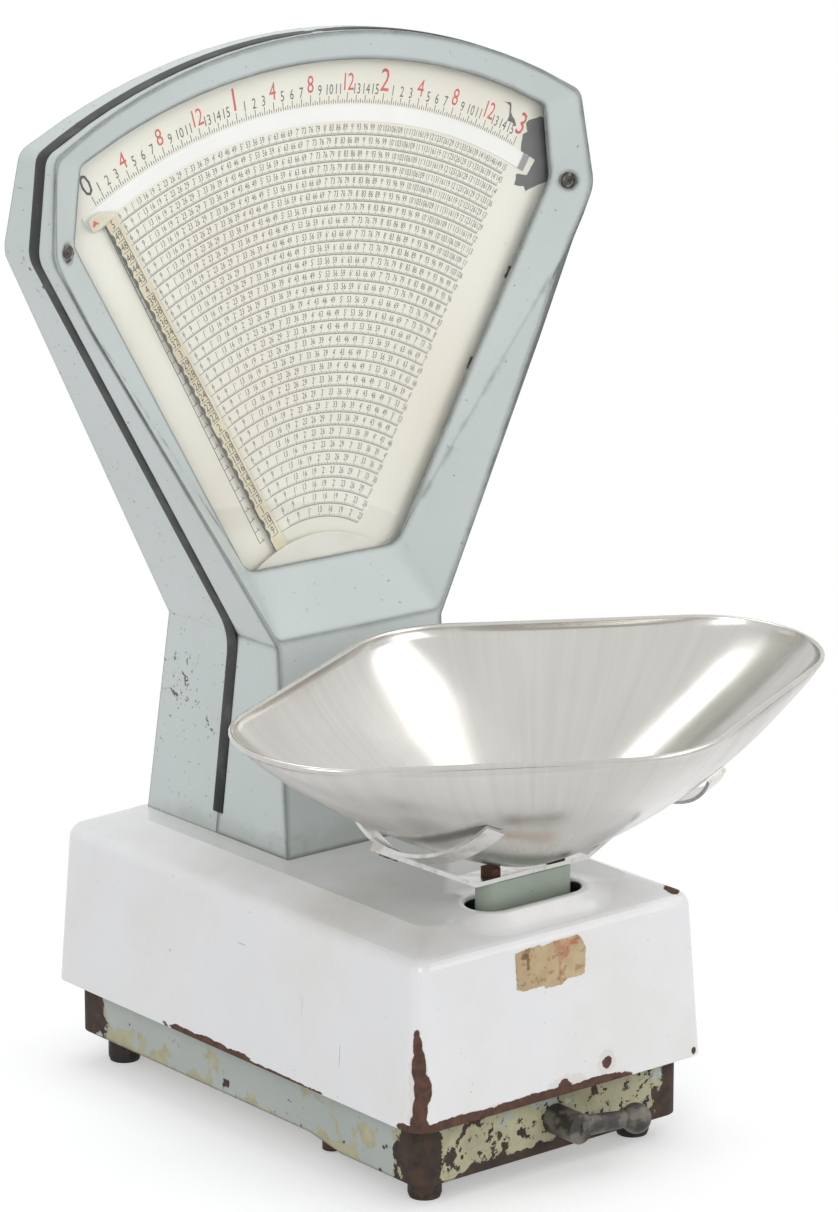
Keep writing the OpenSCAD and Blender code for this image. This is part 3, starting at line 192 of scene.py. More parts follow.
# Wear along edges: where a slightly rounded normal leaves the face's own one
wear, source, sink = new_group(
    "edge wear",
    [("Place", "Vector", None), ("Reach", "Float", 0.002), ("Grain", "Float", 40.0), ("Level", "Float", 0.5)],
    [("Mask", "Float")],
)
rounded = add(wear, "ShaderNodeBevel", {"Radius": source["Reach"]}, samples=4)
facing = add(wear, "ShaderNodeNewGeometry").outputs["Normal"]
turned = add(wear, "ShaderNodeVectorMath", {0: rounded.outputs[0], 1: facing}, operation="DOT_PRODUCT")
bare = calc(wear, "MULTIPLY", calc(wear, "SUBTRACT", 1.0, turned.outputs["Value"]), 9.0, clamp=True)
noise = add(wear, "ShaderNodeTexNoise", {
    "Vector": source["Place"], "Scale": source["Grain"], "Detail": 6.0, "Roughness": 0.6})
broken = calc(wear, "ADD", bare, calc(wear, "SUBTRACT", noise.outputs[0], 0.5))
fully = calc(wear, "ADD", source["Level"], 0.12)
cut = add(wear, "ShaderNodeMapRange", {0: broken, 1: source["Level"], 2: fully},
          interpolation_type="SMOOTHSTEP")
wear.links.new(calc(wear, "MULTIPLY", cut.outputs[0], calc(wear, "GREATER_THAN", bare, 0.05)), sink["Mask"])


def new_finish(name):
    """An empty material: its tree, its Principled shader and Object coordinates"""
    material = bpy.data.materials.new(name)
    material.use_nodes = True
    tree = material.node_tree
    place = add(tree, "ShaderNodeTexCoord").outputs["Object"]
    return material, tree, tree.nodes["Principled BSDF"].inputs, place


def grouped(tree, group, **values):
    """A shader group placed in a material with its own values; its first output"""
    node = add(tree, "ShaderNodeGroup", node_tree=group)
    for key, value in values.items():
        if isinstance(value, bpy.types.NodeSocket):
            tree.links.new(value, node.inputs[key])
        else:
            node.inputs[key].default_value = value
    return node.outputs[0]


def over(tree, mask, under, upper):
    """The upper colour where the mask is 1, and the under colour elsewhere"""
    mix = add(tree, "ShaderNodeMix", {0: mask, 6: under, 7: upper}, data_type="RGBA")
    return mix.outputs[2]


def between(tree, mask, low_value, high_value):
    """A number that goes from one value to another with the mask"""
    return add(tree, "ShaderNodeMapRange", {0: mask, 3: low_value, 4: high_value}).outputs[0]


def spots(tree, place, *marks, soft=0.04):
    """Several ragged spots in one mask, as (centre, size, raggedness, grain) in millimetres"""
    mask = 0.0
    for centre, size, ragged, grain in marks:
        one = grouped(tree, spot, Place=place, Centre=[c * mm for c in centre], Size=[s * mm for s in size],
                      Ragged=ragged, Grain=grain, Soft=soft)
        mask = one if mask == 0.0 else calc(tree, "MAXIMUM", mask, one)
    return mask


def mottled(tree, place, grain, low_value=0.0, high_value=1.0, detail=4.0):
    """A number that wanders between two values over the surface"""
    noise = add(tree, "ShaderNodeTexNoise", {"Vector": place, "Scale": grain, "Detail": detail})
    spread = add(tree, "ShaderNodeMapRange", {0: noise.outputs[0], 1: 0.3, 2: 0.7, 3: low_value, 4: high_value})
    return spread.outputs[0]


def two_tone(tree, place, grain, under, upper):
    """A colour that wanders over the surface between two screen colours"""
    return over(tree, mottled(tree, place, grain), tint(*under), tint(*upper))


def lumpy(tree, height, strength, depth, inputs):
    """A relief of this depth in metres on the shader's normal"""
    bump = add(tree, "ShaderNodeBump", {"Height": height, "Strength": strength, "Distance": depth})
    tree.links.new(bump.outputs[0], inputs["Normal"])
    return bump


def feed(tree, inputs, **values):
    """Each named input of the shader linked or set; an underscore stands for a space"""
    for key, value in values.items():
        socket = inputs[key.replace("_", " ")]
        if isinstance(value, bpy.types.NodeSocket):
            tree.links.new(value, socket)
        else:
            socket.default_value = value


def dress(material, *names):
    """This material on the frame's own nodes"""
    for name in names:
        nodes[name].material_slots[0].material = material


base_paint, tree, skin, place = new_finish("sage paint on the base")
sage = two_tone(tree, place, 9.0, (168, 175, 169), (184, 189, 183))
axes = add(tree, "ShaderNodeSeparateXYZ", {0: place}).outputs
low_zone, front_zone = [
    add(tree, "ShaderNodeMapRange", {0: along, 1: start, 2: end, 3: 0.0, 4: most}).outputs[0]
    for along, start, end, most in ((axes[2], 0.062, 0.018, 0.13), (axes[1], -0.10, -0.135, 0.17))]
cream_level = calc(tree, "SUBTRACT", 0.63, calc(tree, "ADD", low_zone, front_zone))
cream = grouped(tree, patches, Place=place, Grain=38.0, Level=cream_level, Edge=0.012)
colour = over(tree, cream, sage, two_tone(tree, place, 70.0, (186, 182, 148), (160, 157, 126)))
ends = spots(
    tree, place,
    ((-115, -136, 34), (17, 24, 40), 0.5, 60.0), ((115, -136, 30), (26, 24, 30), 0.5, 60.0),
    ((-115, 250, 40), (16, 34, 40), 0.5, 45.0), ((115, 250, 34), (24, 26, 34), 0.5, 45.0),
    ((0, -136, 74), (150, 12, 9), 0.6, 38.0), ((-115, 60, 76), (8, 190, 5), 0.6, 38.0),
    ((0, -136, 15), (150, 10, 9), 0.7, 38.0),
)
more_rust = calc(tree, "ADD", calc(tree, "MULTIPLY", low_zone, 0.5), calc(tree, "MULTIPLY", front_zone, 0.6))
rust_level = calc(tree, "SUBTRACT", 0.70, more_rust)
broad = grouped(tree, patches, Place=place, Grain=44.0, Level=rust_level, Edge=0.01)
fine = grouped(tree, patches, Place=place, Grain=130.0, Level=calc(tree, "ADD", rust_level, 0.03), Edge=0.01)
flaked = calc(tree, "MAXIMUM", broad, fine)
worn = grouped(tree, wear, Place=place, Reach=0.003, Grain=60.0, Level=0.45)
bare_iron = calc(tree, "MAXIMUM", calc(tree, "MAXIMUM", ends, flaked), worn)
brown = two_tone(tree, place, 120.0, (42, 36, 31), (74, 55, 43))
feed(tree, skin, Base_Color=over(tree, bare_iron, colour, brown),
     Roughness=between(tree, bare_iron, 0.42, 0.82))
cast_grain = calc(tree, "MULTIPLY", mottled(tree, place, 260.0), 0.25)
paint_edge = calc(tree, "ADD", bare_iron, calc(tree, "MULTIPLY", cream, 0.35))
lumpy(tree, calc(tree, "SUBTRACT", cast_grain, paint_edge), 0.7, 0.0006, skin)
dress(base_paint, "base_casting")

# Feet and the stub under the floor: turned iron, screwed up into the base, blackened
# and rusty where the paint has gone.
dark_iron, tree, skin, place = new_finish("blackened iron")
rusty = grouped(tree, patches, Place=place, Grain=70.0, Level=0.55, Edge=0.06)
feed(tree, skin, Base_Color=over(tree, rusty, tint(40, 36, 34), tint(78, 56, 42)), Metallic=0.25,
     Roughness=mottled(tree, place, 90.0, 0.45, 0.75))
lumpy(tree, mottled(tree, place, 300.0), 0.5, 0.0004, skin)
dress(dark_iron, "feet", "transit_stop")

# Case cover: pressed steel in glossy white vitreous enamel. It is chipped to rusty
# steel up the near corner and along its lower edge, with grey scuffs elsewhere.
enamel, tree, skin, place = new_finish("white vitreous enamel")
white = two_tone(tree, place, 5.0, (229, 229, 230), (236, 236, 236))
scuffs = grouped(tree, patches, Place=place, Grain=430.0, Level=0.70, Edge=0.012)
stains = grouped(tree, patches, Place=place, Grain=9.0, Level=0.55, Edge=0.14)
# Greyish patches on the top: the one at the front, under the pan, is painted shade that stands for the pan's
# shadow; the other two darken the top along its left edge and at the back beside the head.
top_patches_and_pan_shade = spots(
    tree, place,
    ((0, -60, 186), (110, 90, 16), 0.5, 12.0), ((-100, 0, 182), (26, 190, 12), 0.5, 10.0),
    ((-40, 160, 186), (100, 60, 12), 0.5, 12.0), soft=0.75,
)
top_grey_and_pan_shade = two_tone(tree, place, 30.0, (196, 190, 178), (214, 210, 200))
white = over(tree, calc(tree, "MULTIPLY", stains, 0.28), white, tint(214, 209, 196))
white = over(tree, calc(tree, "MULTIPLY", top_patches_and_pan_shade, mottled(tree, place, 16.0, 0.05, 0.6)), white, top_grey_and_pan_shade)
scratches = spots(
    tree, place,
    ((-126, -22, 119), (3, 0.35, 15), 0.25, 200.0), ((-126, -19.5, 122), (3, 0.3, 9), 0.25, 200.0),
    ((-125, -64, 92), (3, 0.3, 8), 0.25, 200.0), ((-124, 46, 140), (3, 6, 0.4), 0.25, 200.0),
    ((-126, 126, 115), (3, 0.8, 2.2), 0.4, 200.0), ((-126, 40, 128), (3, 0.9, 1.0), 0.4, 200.0),
)
white = over(tree, calc(tree, "MULTIPLY", scratches, 0.6), white, tint(120, 116, 112))
white = over(tree, calc(tree, "MULTIPLY", scuffs, 0.8), white, tint(134, 122, 108))
rust = spots(
    tree, place,
    ((-122, -144, 121), (4, 7, 17), 0.1, 150.0), ((-121.5, -145, 105), (5, 8, 16), 0.1, 150.0),
    ((-120.5, -146.5, 90), (7, 8, 13), 0.12, 110.0), ((-122.5, -147, 77), (5.5, 8, 14), 0.1, 110.0),
    ((-124.5, -147.5, 66), (7.5, 9, 10), 0.16, 110.0), ((-125, -147.5, 62), (12, 9, 5), 0.25, 110.0),
    ((-127, -138, 61.5), (5, 12, 3.4), 0.35, 110.0), ((-92, -148, 62), (36, 7, 4.6), 0.24, 90.0),
    ((-30, -148, 61.5), (40, 7, 5.2), 0.26, 90.0), ((22, -148, 61.5), (34, 7, 4.4), 0.28, 90.0),
    ((36.6, -147.5, 74), (4, 5, 4.2), 0.35, 160.0), ((-0.7, -148, 66), (6, 6, 4.0), 0.4, 130.0),
    ((115, -148, 64.5), (2.6, 6, 2.6), 0.4, 150.0), ((108, -131, 176.6), (6, 7.5, 3.4), 0.35, 150.0),
    ((-121, 203, 178), (4, 9, 5), 0.4, 140.0), ((-128, 75, 61.5), (5, 52, 3.3), 0.42, 80.0),
    ((-128, 5, 60.5), (5, 60, 1.3), 0.6, 120.0),
)
halo = spots(
    tree, place,
    ((-126, -148, 96), (10, 12, 36), 0.3, 60.0), ((-60, -148, 60), (62, 10, 7), 0.5, 50.0),
    ((0, -148, 63), (18, 10, 9), 0.4, 60.0), ((36.6, -148, 74), (8, 8, 8), 0.4, 90.0),
)
colour = over(tree, calc(tree, "MULTIPLY", halo, 0.35), white, tint(205, 198, 186))
brown = two_tone(tree, place, 170.0, (64, 42, 35), (96, 66, 50))
colour = over(tree, rust, colour, brown)
hole_y = -102.821
hole_half = 29.0
hole_radius = 17.0
hole_top = 186.2
cover_middle = (0.0, 0.057, 0.12)
middle = add(tree, "ShaderNodeVectorMath", {0: place, 1: cover_middle}, operation="SUBTRACT").outputs[0]
facing = add(tree, "ShaderNodeNewGeometry").outputs["Normal"]
outward = add(tree, "ShaderNodeVectorMath", {0: middle, 1: facing}, operation="DOT_PRODUCT").outputs["Value"]
from_hole = add(tree, "ShaderNodeVectorMath", {0: place, 1: (0.0, hole_y * mm, 0.0)}, operation="SUBTRACT")
from_spine = add(tree, "ShaderNodeSeparateXYZ", {0: from_hole.outputs[0]}).outputs
past_end = calc(tree, "SUBTRACT", calc(tree, "ABSOLUTE", from_spine[0]), hole_half * mm)
past_end = calc(tree, "POWER", calc(tree, "MAXIMUM", past_end, 0.0), 2.0)
beside = calc(tree, "POWER", calc(tree, "ABSOLUTE", from_spine[1]), 2.0)
off_spine = calc(tree, "SQRT", calc(tree, "ADD", past_end, beside))
within = calc(tree, "LESS_THAN", off_spine, (hole_radius + 0.4) * mm)
in_hole = calc(tree, "MULTIPLY", within, calc(tree, "LESS_THAN", from_spine[2], hole_top * mm))
inside = calc(tree, "MAXIMUM", calc(tree, "LESS_THAN", outward, 0.0), in_hole)
# The cover's inner faces and the wall of the hole below its rim are dark grey; in the hole round the post this is
# painted shade.
dark_inside_and_hole_shade = two_tone(tree, place, 40.0, (40, 40, 42), (58, 57, 56))
feed(tree, skin, Base_Color=over(tree, inside, colour, dark_inside_and_hole_shade), Roughness=between(tree, rust, 0.17, 0.8))
ripple = mottled(tree, place, 14.0, detail=1.0)
lumpy(tree, calc(tree, "SUBTRACT", ripple, rust), 0.5, 0.0009, skin)
dress(enamel, "enamel_cover")


def placed(name, mesh, material, body):
    """An object with this mesh and finish, on its body"""
    mesh.materials.append(material)
    piece = bpy.data.objects.new(name, mesh)
    bpy.context.scene.collection.objects.link(piece)
    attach(piece, body)
    return piece


def new_piece(name, points, faces, material, body):
    """A smooth mesh piece in metres, with its finish, on its body"""
    mesh = bpy.data.meshes.new(name)
    mesh.from_pydata(points, [], faces)
    mesh.validate()
    for face in mesh.polygons:
        face.use_smooth = True
    return placed(name, mesh, material, body)


def tube_faces(rings, count, closed=False):
    """Faces between rings of this many points each, the last joined to the first if closed"""
    faces = []
    for k in range(rings if closed else rings - 1):
        here, there = k * count, (k + 1) % rings * count
        for j in range(count):
            after = (j + 1) % count
            faces.append((here + j, here + after, there + after, there + j))
    return faces


# Collar: the enamelled top swells up softly round the oval hole, pressed in one with
# the cover. From its rounded lip it falls away in a curve that runs out on the top.
collar_top = 188.0
lip_section = ((-0.3, 182.0), (-0.3, 186.4), (0.0, 187.4), (1.0, collar_top), (2.8, 188.2), (5.2, collar_top))
fall_shares = (0.05, 0.13, 0.23, 0.36, 0.52, 0.72, 0.88, 1.0)
fall_power = 2.1
collar_reach = 27.0
lip_reach = 5.2
front_short = 0.5
tucked = 0.12
collar_foot = 180.0
arc_steps = 24
turns = [math.pi * (k / arc_steps - 0.5) for k in range(arc_steps + 1)]
turns += [math.pi * (k / arc_steps + 0.5) for k in range(arc_steps + 1)]
cover_mesh = nodes["enamel_cover"].data
cover_tree = BVHTree.FromPolygons([v.co for v in cover_mesh.vertices],
                                  [list(f.vertices) for f in cover_mesh.polygons])
rings = []
for k, turn in enumerate(turns):
    end_x = hole_half if k <= arc_steps else -hole_half
    short = 1.0 - front_short * max(0.0, -math.sin(turn)) ** 2
    past_lip = lip_reach + 1.2 / short

    def at_reach(reach):
        out = hole_radius + min(reach, lip_reach) + max(0.0, reach - lip_reach) * short
        return end_x + out * math.cos(turn), hole_y + out * math.sin(turn)

    def cover_height(reach):
        x, y = at_reach(reach)
        return cover_tree.ray_cast(Vector((x * mm, y * mm, 0.4)), Vector((0, 0, -1)))[0].z / mm

    ring = [(*at_reach(reach), height) for reach, height in lip_section]
    lift = collar_top - cover_height(past_lip)
    for share in fall_shares:
        reach = lip_reach + (collar_reach - lip_reach) * share
        ground_at = min(cover_height(max(reach, past_lip)), 186.0)
        ring.append((*at_reach(reach), ground_at + lift * (1 - share) ** fall_power - tucked * share))
    ring.append((*at_reach(collar_reach), ring[-1][2] - 1.0))
    ring += [(*at_reach(reach), collar_foot) for reach in (5.0, 1.0)]
    rings.append(ring)
points = [(x * mm, y * mm, z * mm) for ring in rings for x, y, z in ring]
faces = tube_faces(len(rings), len(rings[0]), closed=True)
new_piece("hole_collar", points, faces, enamel, "stand")

# Label remains: a torn, yellowed piece of paper glued to the front of the cover, with
# a reddish stain. Nothing is written on it.
label_edge = [
    (-39.3, 165.0), (-29.8, 166.0), (-18.6, 166.4), (-16.0, 165.2), (-4.7, 166.5), (7.5, 166.3), (14.9, 166.6),
    (18.0, 163.8), (21.5, 156.5), (20.3, 146.8), (19.6, 139.3), (13.4, 138.3), (5.6, 139.3), (-0.7, 135.8),
    (-14.6, 136.1), (-16.2, 138.2), (-25.8, 138.2), (-34.4, 138.0), (-39.0, 140.4), (-39.4, 153.4),
]
tear_step = 1.4
tear_depth = 0.3
shaker = random.Random(7)
ragged = []
for (x0, z0), (x1, z1) in zip(label_edge, label_edge[1:] + label_edge[:1]):
    steps = max(2, int(math.hypot(x1 - x0, z1 - z0) / tear_step))
    for k in range(steps):
        t = k / steps
        ragged.append((x0 + (x1 - x0) * t + shaker.uniform(-tear_depth, tear_depth),
                       z0 + (z1 - z0) * t + shaker.uniform(-tear_depth, tear_depth)))
sheet = bmesh.new()
rim = [sheet.verts.new((x * mm, 0, z * mm)) for x, z in ragged]
sheet.faces.new(rim)
bmesh.ops.triangulate(sheet, faces=sheet.faces[:])
for _ in range(3):
    bmesh.ops.subdivide_edges(sheet, edges=[e for e in sheet.edges if e.calc_length() > 4 * mm], cuts=1)
    bmesh.ops.triangulate(sheet, faces=sheet.faces[:])
bmesh.ops.recalc_face_normals(sheet, faces=sheet.faces[:])
for vert in sheet.verts:
    hit, face_normal, _, _ = cover_tree.ray_cast(Vector((vert.co.x, -0.4, vert.co.z)), Vector((0, 1, 0)))
    vert.co = hit + face_normal * 0.12 * mm
sheet.normal_update()
if sum((f.normal.y for f in sheet.faces)) > 0:
    bmesh.ops.reverse_faces(sheet, faces=sheet.faces[:])
label_mesh = bpy.data.meshes.new("label_remains")
sheet.to_mesh(label_mesh)
sheet.free()
paper, tree, skin, place = new_finish("torn yellowed paper")
buff = two_tone(tree, place, 60.0, (176, 150, 114), (200, 180, 144))
browned = grouped(tree, patches, Place=place, Grain=55.0, Level=0.6, Edge=0.05)
buff = over(tree, browned, buff, tint(150, 120, 86))
stain = spots(
    tree, place,
    ((0.5, -142.6, 161), (7, 6, 9), 0.5, 70.0), ((13, -142.6, 163), (9, 6, 2.6), 0.6, 70.0),
    ((-1.6, -143, 148), (1.6, 6, 12), 0.7, 90.0),
)
orange = spots(tree, place, ((18, -143.7, 143), (2.2, 6, 4.5), 0.6, 90.0))
blotchy = mottled(tree, place, 170.0, 0.0, 0.85)
buff = over(tree, calc(tree, "MULTIPLY", stain, blotchy), buff, tint(178, 100, 74))
buff = over(tree, calc(tree, "MULTIPLY", orange, blotchy), buff, tint(196, 130, 60))
foxing = grouped(tree, patches, Place=place, Grain=240.0, Level=0.58, Edge=0.03)
buff = over(tree, calc(tree, "MULTIPLY", foxing, 0.5), buff, tint(120, 88, 62))
tears = spots(tree, place, ((-30.5, -142.7, 161), (3.4, 6, 2.2), 0.8, 120.0),
              ((-29, -143, 157), (1.4, 6, 4.0), 0.8, 120.0))
buff = over(tree, calc(tree, "MULTIPLY", tears, 0.7), buff, tint(96, 74, 54))
feed(tree, skin, Base_Color=buff, Roughness=0.85)
lumpy(tree, mottled(tree, place, 220.0), 0.5, 0.0003, skin)
label = placed("label_remains", label_mesh, paper, "stand")
thick = label.modifiers.new("paper thickness", "SOLIDIFY")
thick.thickness = 0.1 * mm
thick.offset = 1.0


# Head shells: pressed steel in pale sage green gloss. The outer lip of the front
# shell is grey, partly rubbed down to metal and partly painted shade along the edge
# between its side and front faces, and small dark chips are scattered over both.
def sage_gloss(name, lip_reach, lip_level, speck_level):
    """The shells' paint, with its lip greyed this far by wear and painted shade, and its dark specks cut at this
    level
    """
    material, tree, skin, place = new_finish(name)
    paint = two_tone(tree, place, 6.0, (194, 203, 201), (204, 212, 211))
    yellowed = mottled(tree, place, 2.5, 0.0, 0.25)
    paint = over(tree, yellowed, paint, tint(196, 200, 188))
    # Darker spots at the foot of the column, where it stands on the cover: partly grime, partly painted shade.
    darker_patches = spots(
        tree, place,
        ((-71, 110, 186), (30, 90, 12), 0.5, 40.0), ((0, 61, 187), (80, 12, 14), 0.5, 40.0), soft=0.6,
    )
    paint = over(tree, calc(tree, "MULTIPLY", darker_patches, 0.3), paint, tint(150, 150, 136))
    worn_place = spots(
        tree, place,
        ((-71, 176, 286), (9, 24, 18), 0.3, 20.0), ((-71, 150, 262), (9, 10, 10), 0.3, 20.0),
        ((-228, 128, 590), (14, 14, 26), 0.3, 20.0), ((-100, 68, 330), (20, 14, 20), 0.3, 20.0), soft=0.3,
    )
    flakes = grouped(tree, patches, Place=place, Grain=190.0, Level=0.61, Edge=0.008)
    flakes = calc(tree, "MULTIPLY", worn_place, flakes)
    specks = grouped(tree, patches, Place=place, Grain=300.0, Level=speck_level, Edge=0.012)
    chips = calc(tree, "MAXIMUM", flakes, calc(tree, "MULTIPLY", specks, 0.75))
    # Grey along the lip: rubbed metal, and on the front shell also painted shade at the edge between the side and
    # front faces.
    lip_wear_and_shade = grouped(tree, wear, Place=place, Reach=lip_reach, Grain=70.0, Level=lip_level)
    rubbed = two_tone(tree, place, 60.0, (124, 129, 127), (100, 104, 101))
    colour = over(tree, lip_wear_and_shade, paint, rubbed)
    colour = over(tree, chips, colour, tint(92, 92, 84))
    bare = calc(tree, "MAXIMUM", chips, lip_wear_and_shade)
    feed(tree, skin, Base_Color=colour, Roughness=between(tree, bare, 0.3, 0.55),
         Metallic=calc(tree, "MULTIPLY", lip_wear_and_shade, 0.5))
    smooth = add(tree, "ShaderNodeBevel", {"Radius": 0.0026}, samples=6)
    uneven = calc(tree, "SUBTRACT", mottled(tree, place, 700.0, 0.0, 0.1), bare)
    relief = lumpy(tree, uneven, 0.6, 0.0004, skin)
    tree.links.new(smooth.outputs[0], relief.inputs["Normal"])
    return material


dress(sage_gloss("sage gloss on the front shell", 0.0058, 0.2, 0.685), "front_housing")
dress(sage_gloss("sage gloss on the rear shell", 0.0012, 0.56, 0.664), "rear_housing")

# Seam strip: black extruded rubber of T section, nipped in the seam between the two
# shells all the way round. It is dusty and slightly dull.
rubber, tree, skin, place = new_finish("black rubber")
dust = grouped(tree, patches, Place=place, Grain=50.0, Level=0.56, Edge=0.1)
feed(tree, skin, Base_Color=over(tree, dust, tint(34, 35, 37), tint(62, 63, 64)), Roughness=0.55)
lumpy(tree, mottled(tree, place, 500.0), 0.3, 0.0002, skin)


def softened(points, radii, steps=10):
    """A line in x and z with each inner corner rounded to its radius"""
    line = [points[0]]
    for before, corner, after, radius in zip(points, points[1:], points[2:], radii):
        back = (Vector(before) - Vector(corner)).normalized()
        on = (Vector(after) - Vector(corner)).normalized()
        cut = radius * math.tan((math.pi - back.angle(on)) / 2)
        start, end = Vector(corner) + back * cut, Vector(corner) + on * cut
        for k in range(steps + 1):
            t = k / steps
            line.append(tuple(start * (1 - t) ** 2 + Vector(corner) * 2 * t * (1 - t) + end * t ** 2))
    return line + [points[-1]]


arc_radius, arc_middle_z, arc_half, arc_parts = 441.8, 297.0, 30.35, 24
foot_z, waist_z, waist_x, shoulder = 201.0, 332.7, 71.3, (231.0, 612.0)
neck_lean, lean_softness = 0.1571, 14.0
strip_y = 118.379
head_top = 738.7
top_arc = []
for k in range(arc_parts + 1):
    a = math.radians(arc_half * (1 - k / arc_parts))
    top_arc.append((arc_radius * math.sin(a), arc_middle_z + arc_radius * math.cos(a)))
flank_line = [(waist_x, foot_z), (waist_x, waist_z), shoulder, top_arc[0], top_arc[2]]
half_line = softened(flank_line, (60.0, 22.0, 12.0))
half_line = half_line[:-1] + top_arc[2:]
strip_line = half_line + [(-x, z) for x, z in reversed(half_line[:-1])]
strip_section = (
    (-2.6, -2.2), (-2.6, -0.1), (-5.7, -0.1), (-5.7, 0.2), (-4.9, 0.65), (-2.6, 0.9), (0.0, 0.95), (2.6, 0.9),
    (4.9, 0.65), (5.7, 0.2), (5.7, -0.1), (2.6, -0.1), (2.6, -2.2),
)
points = []
last = len(strip_line) - 1
for k, (x, z) in enumerate(strip_line):
    x0, z0 = strip_line[max(k - 1, 0)]
    x1, z1 = strip_line[min(k + 1, last)]
    outward = Vector((z1 - z0, x0 - x1)).normalized()
    below_waist = waist_z - z
    y = strip_y + neck_lean * (below_waist + math.hypot(below_waist, lean_softness)) / 2
    for wide, proud in strip_section:
        high = min(z + outward.y * proud, head_top)
        points.append(((x + outward.x * proud) * mm, (y + wide) * mm, high * mm))
ring = len(strip_section)
faces = tube_faces(last + 1, ring)
faces += [tuple(range(ring))[::-1], tuple(last * ring + j for j in range(ring))]
seam_strip = new_piece("seam_strip", points, faces, rubber, "stand")
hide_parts("housing_seal")

# Screws, bolts, clips, pillars and rivets: plated steel, dulled with age. The bezel's
# own screws are blackened, and sit in cup washers pressed from plated sheet.
worn_steel, tree, skin, place = new_finish("dulled steel")
darker_patches = grouped(tree, patches, Place=place, Grain=180.0, Level=0.5, Edge=0.08)
feed(tree, skin, Base_Color=over(tree, darker_patches, tint(150, 147, 140), tint(84, 78, 68)), Metallic=0.8,
     Roughness=mottled(tree, place, 220.0, 0.3, 0.55))
lumpy(tree, mottled(tree, place, 900.0), 0.3, 0.0001, skin)
dress(worn_steel, "cover_screws", "column_screws", "window_clips", "dial_screws", "frame_bolts",
      "bridge_pillars", "strap_rivets", "cup_washers")


def plain_finish(name, grain, under, upper, relief=None, **values):
    """A finish in two wandering tones. A value of three numbers wanders too, as grain, low and
    high, and a relief is the grain, strength and depth of its lumps"""
    material, tree, skin, place = new_finish(name)
    wandering = {key: mottled(tree, place, *value) if isinstance(value, tuple) else value
                 for key, value in values.items()}
    feed(tree, skin, Base_Color=two_tone(tree, place, grain, under, upper), **wandering)
    if relief:
        lump_grain, strength, depth = relief
        lumpy(tree, mottled(tree, place, lump_grain), strength, depth, skin)
    return material


blackened = plain_finish("blackened screws", 260.0, (96, 96, 92), (58, 56, 52), relief=(900.0, 0.3, 0.0001),
                         Metallic=0.6, Roughness=0.42)
dress(blackened, "bezel_screws")

# Window glass at the front and at the customer's side: plain flat panes, held in the
# shells by clips. Light goes through them to the dial as if they were not there.
glass, tree, skin, place = new_finish("window glass")
feed(tree, skin, Base_Color=(1.0, 1.0, 1.0, 1.0), Transmission_Weight=1.0, IOR=1.45,
     Roughness=mottled(tree, place, 40.0, 0.0, 0.012))
clear = add(tree, "ShaderNodeBsdfTransparent", {"Color": (0.97, 0.98, 0.97, 1.0)})
for_light = add(tree, "ShaderNodeLightPath").outputs["Is Shadow Ray"]
let_through = add(tree, "ShaderNodeMixShader", {
    0: for_light, 1: tree.nodes["Principled BSDF"].outputs[0], 2: clear.outputs[0]})
tree.links.new(let_through.outputs[0], tree.nodes["Material Output"].inputs[0])
dress(glass, "dial_window", "rear_window")

# Dial and rear dial: thin sheet screwed to the head frame, in cream enamel paint that
# has yellowed unevenly and carries fine brown specks.
dial_paint, tree, skin, place = new_finish("cream dial enamel")
aged = mottled(tree, place, 7.0)
cream = over(tree, aged, tint(233, 233, 222), tint(228, 224, 209))
specks = grouped(tree, patches, Place=place, Grain=210.0, Level=0.72, Edge=0.02)
feed(tree, skin, Base_Color=over(tree, calc(tree, "MULTIPLY", specks, 0.5), cream, tint(168, 156, 130)),
     Roughness=0.38)
dress(dial_paint, "dial_plate", "rear_dial")

# White band: a curved strip of milky sheet between the scale and the chart, which the
# pointer's tip runs along. Its right end is clear and shows the bare sheet behind.
band_white, tree, skin, place = new_finish("white band")
milk = two_tone(tree, place, 16.0, (240, 240, 238), (234, 234, 231))
pivot_z = 327.0
axes = add(tree, "ShaderNodeSeparateXYZ", {0: place}).outputs
slant = calc(tree, "DIVIDE", axes[0], calc(tree, "SUBTRACT", axes[2], pivot_z * mm))
clear_from, clear_to = 0.598, 0.604
clear_end = add(tree, "ShaderNodeMapRange", {0: slant, 1: clear_from, 2: clear_to}).outputs[0]
feed(tree, skin, Base_Color=over(tree, clear_end, milk, tint(150, 147, 146)), Roughness=0.35)
dress(band_white, "scale_band")

# Plate at the foot of the window: a bare dome-shaped sheet of ivory plastic, a hair
# behind the glass.
plate_white = plain_finish("ivory plate", 22.0, (230, 229, 220), (220, 218, 208), Roughness=0.3)
plate_gap = 0.25
shell = bmesh.new()
shell.from_mesh(nodes["name_plate"].data)
bmesh.ops.remove_doubles(shell, verts=shell.verts[:], dist=1e-6)
bmesh.ops.translate(shell, verts=shell.verts[:], vec=(0, plate_gap * mm, 0))
plate_mesh = bpy.data.meshes.new("foot_plate")
shell.to_mesh(plate_mesh)
shell.free()
plate_mesh.materials.clear()
plate = placed("foot_plate", plate_mesh, plate_white, "stand")
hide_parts("name_plate")


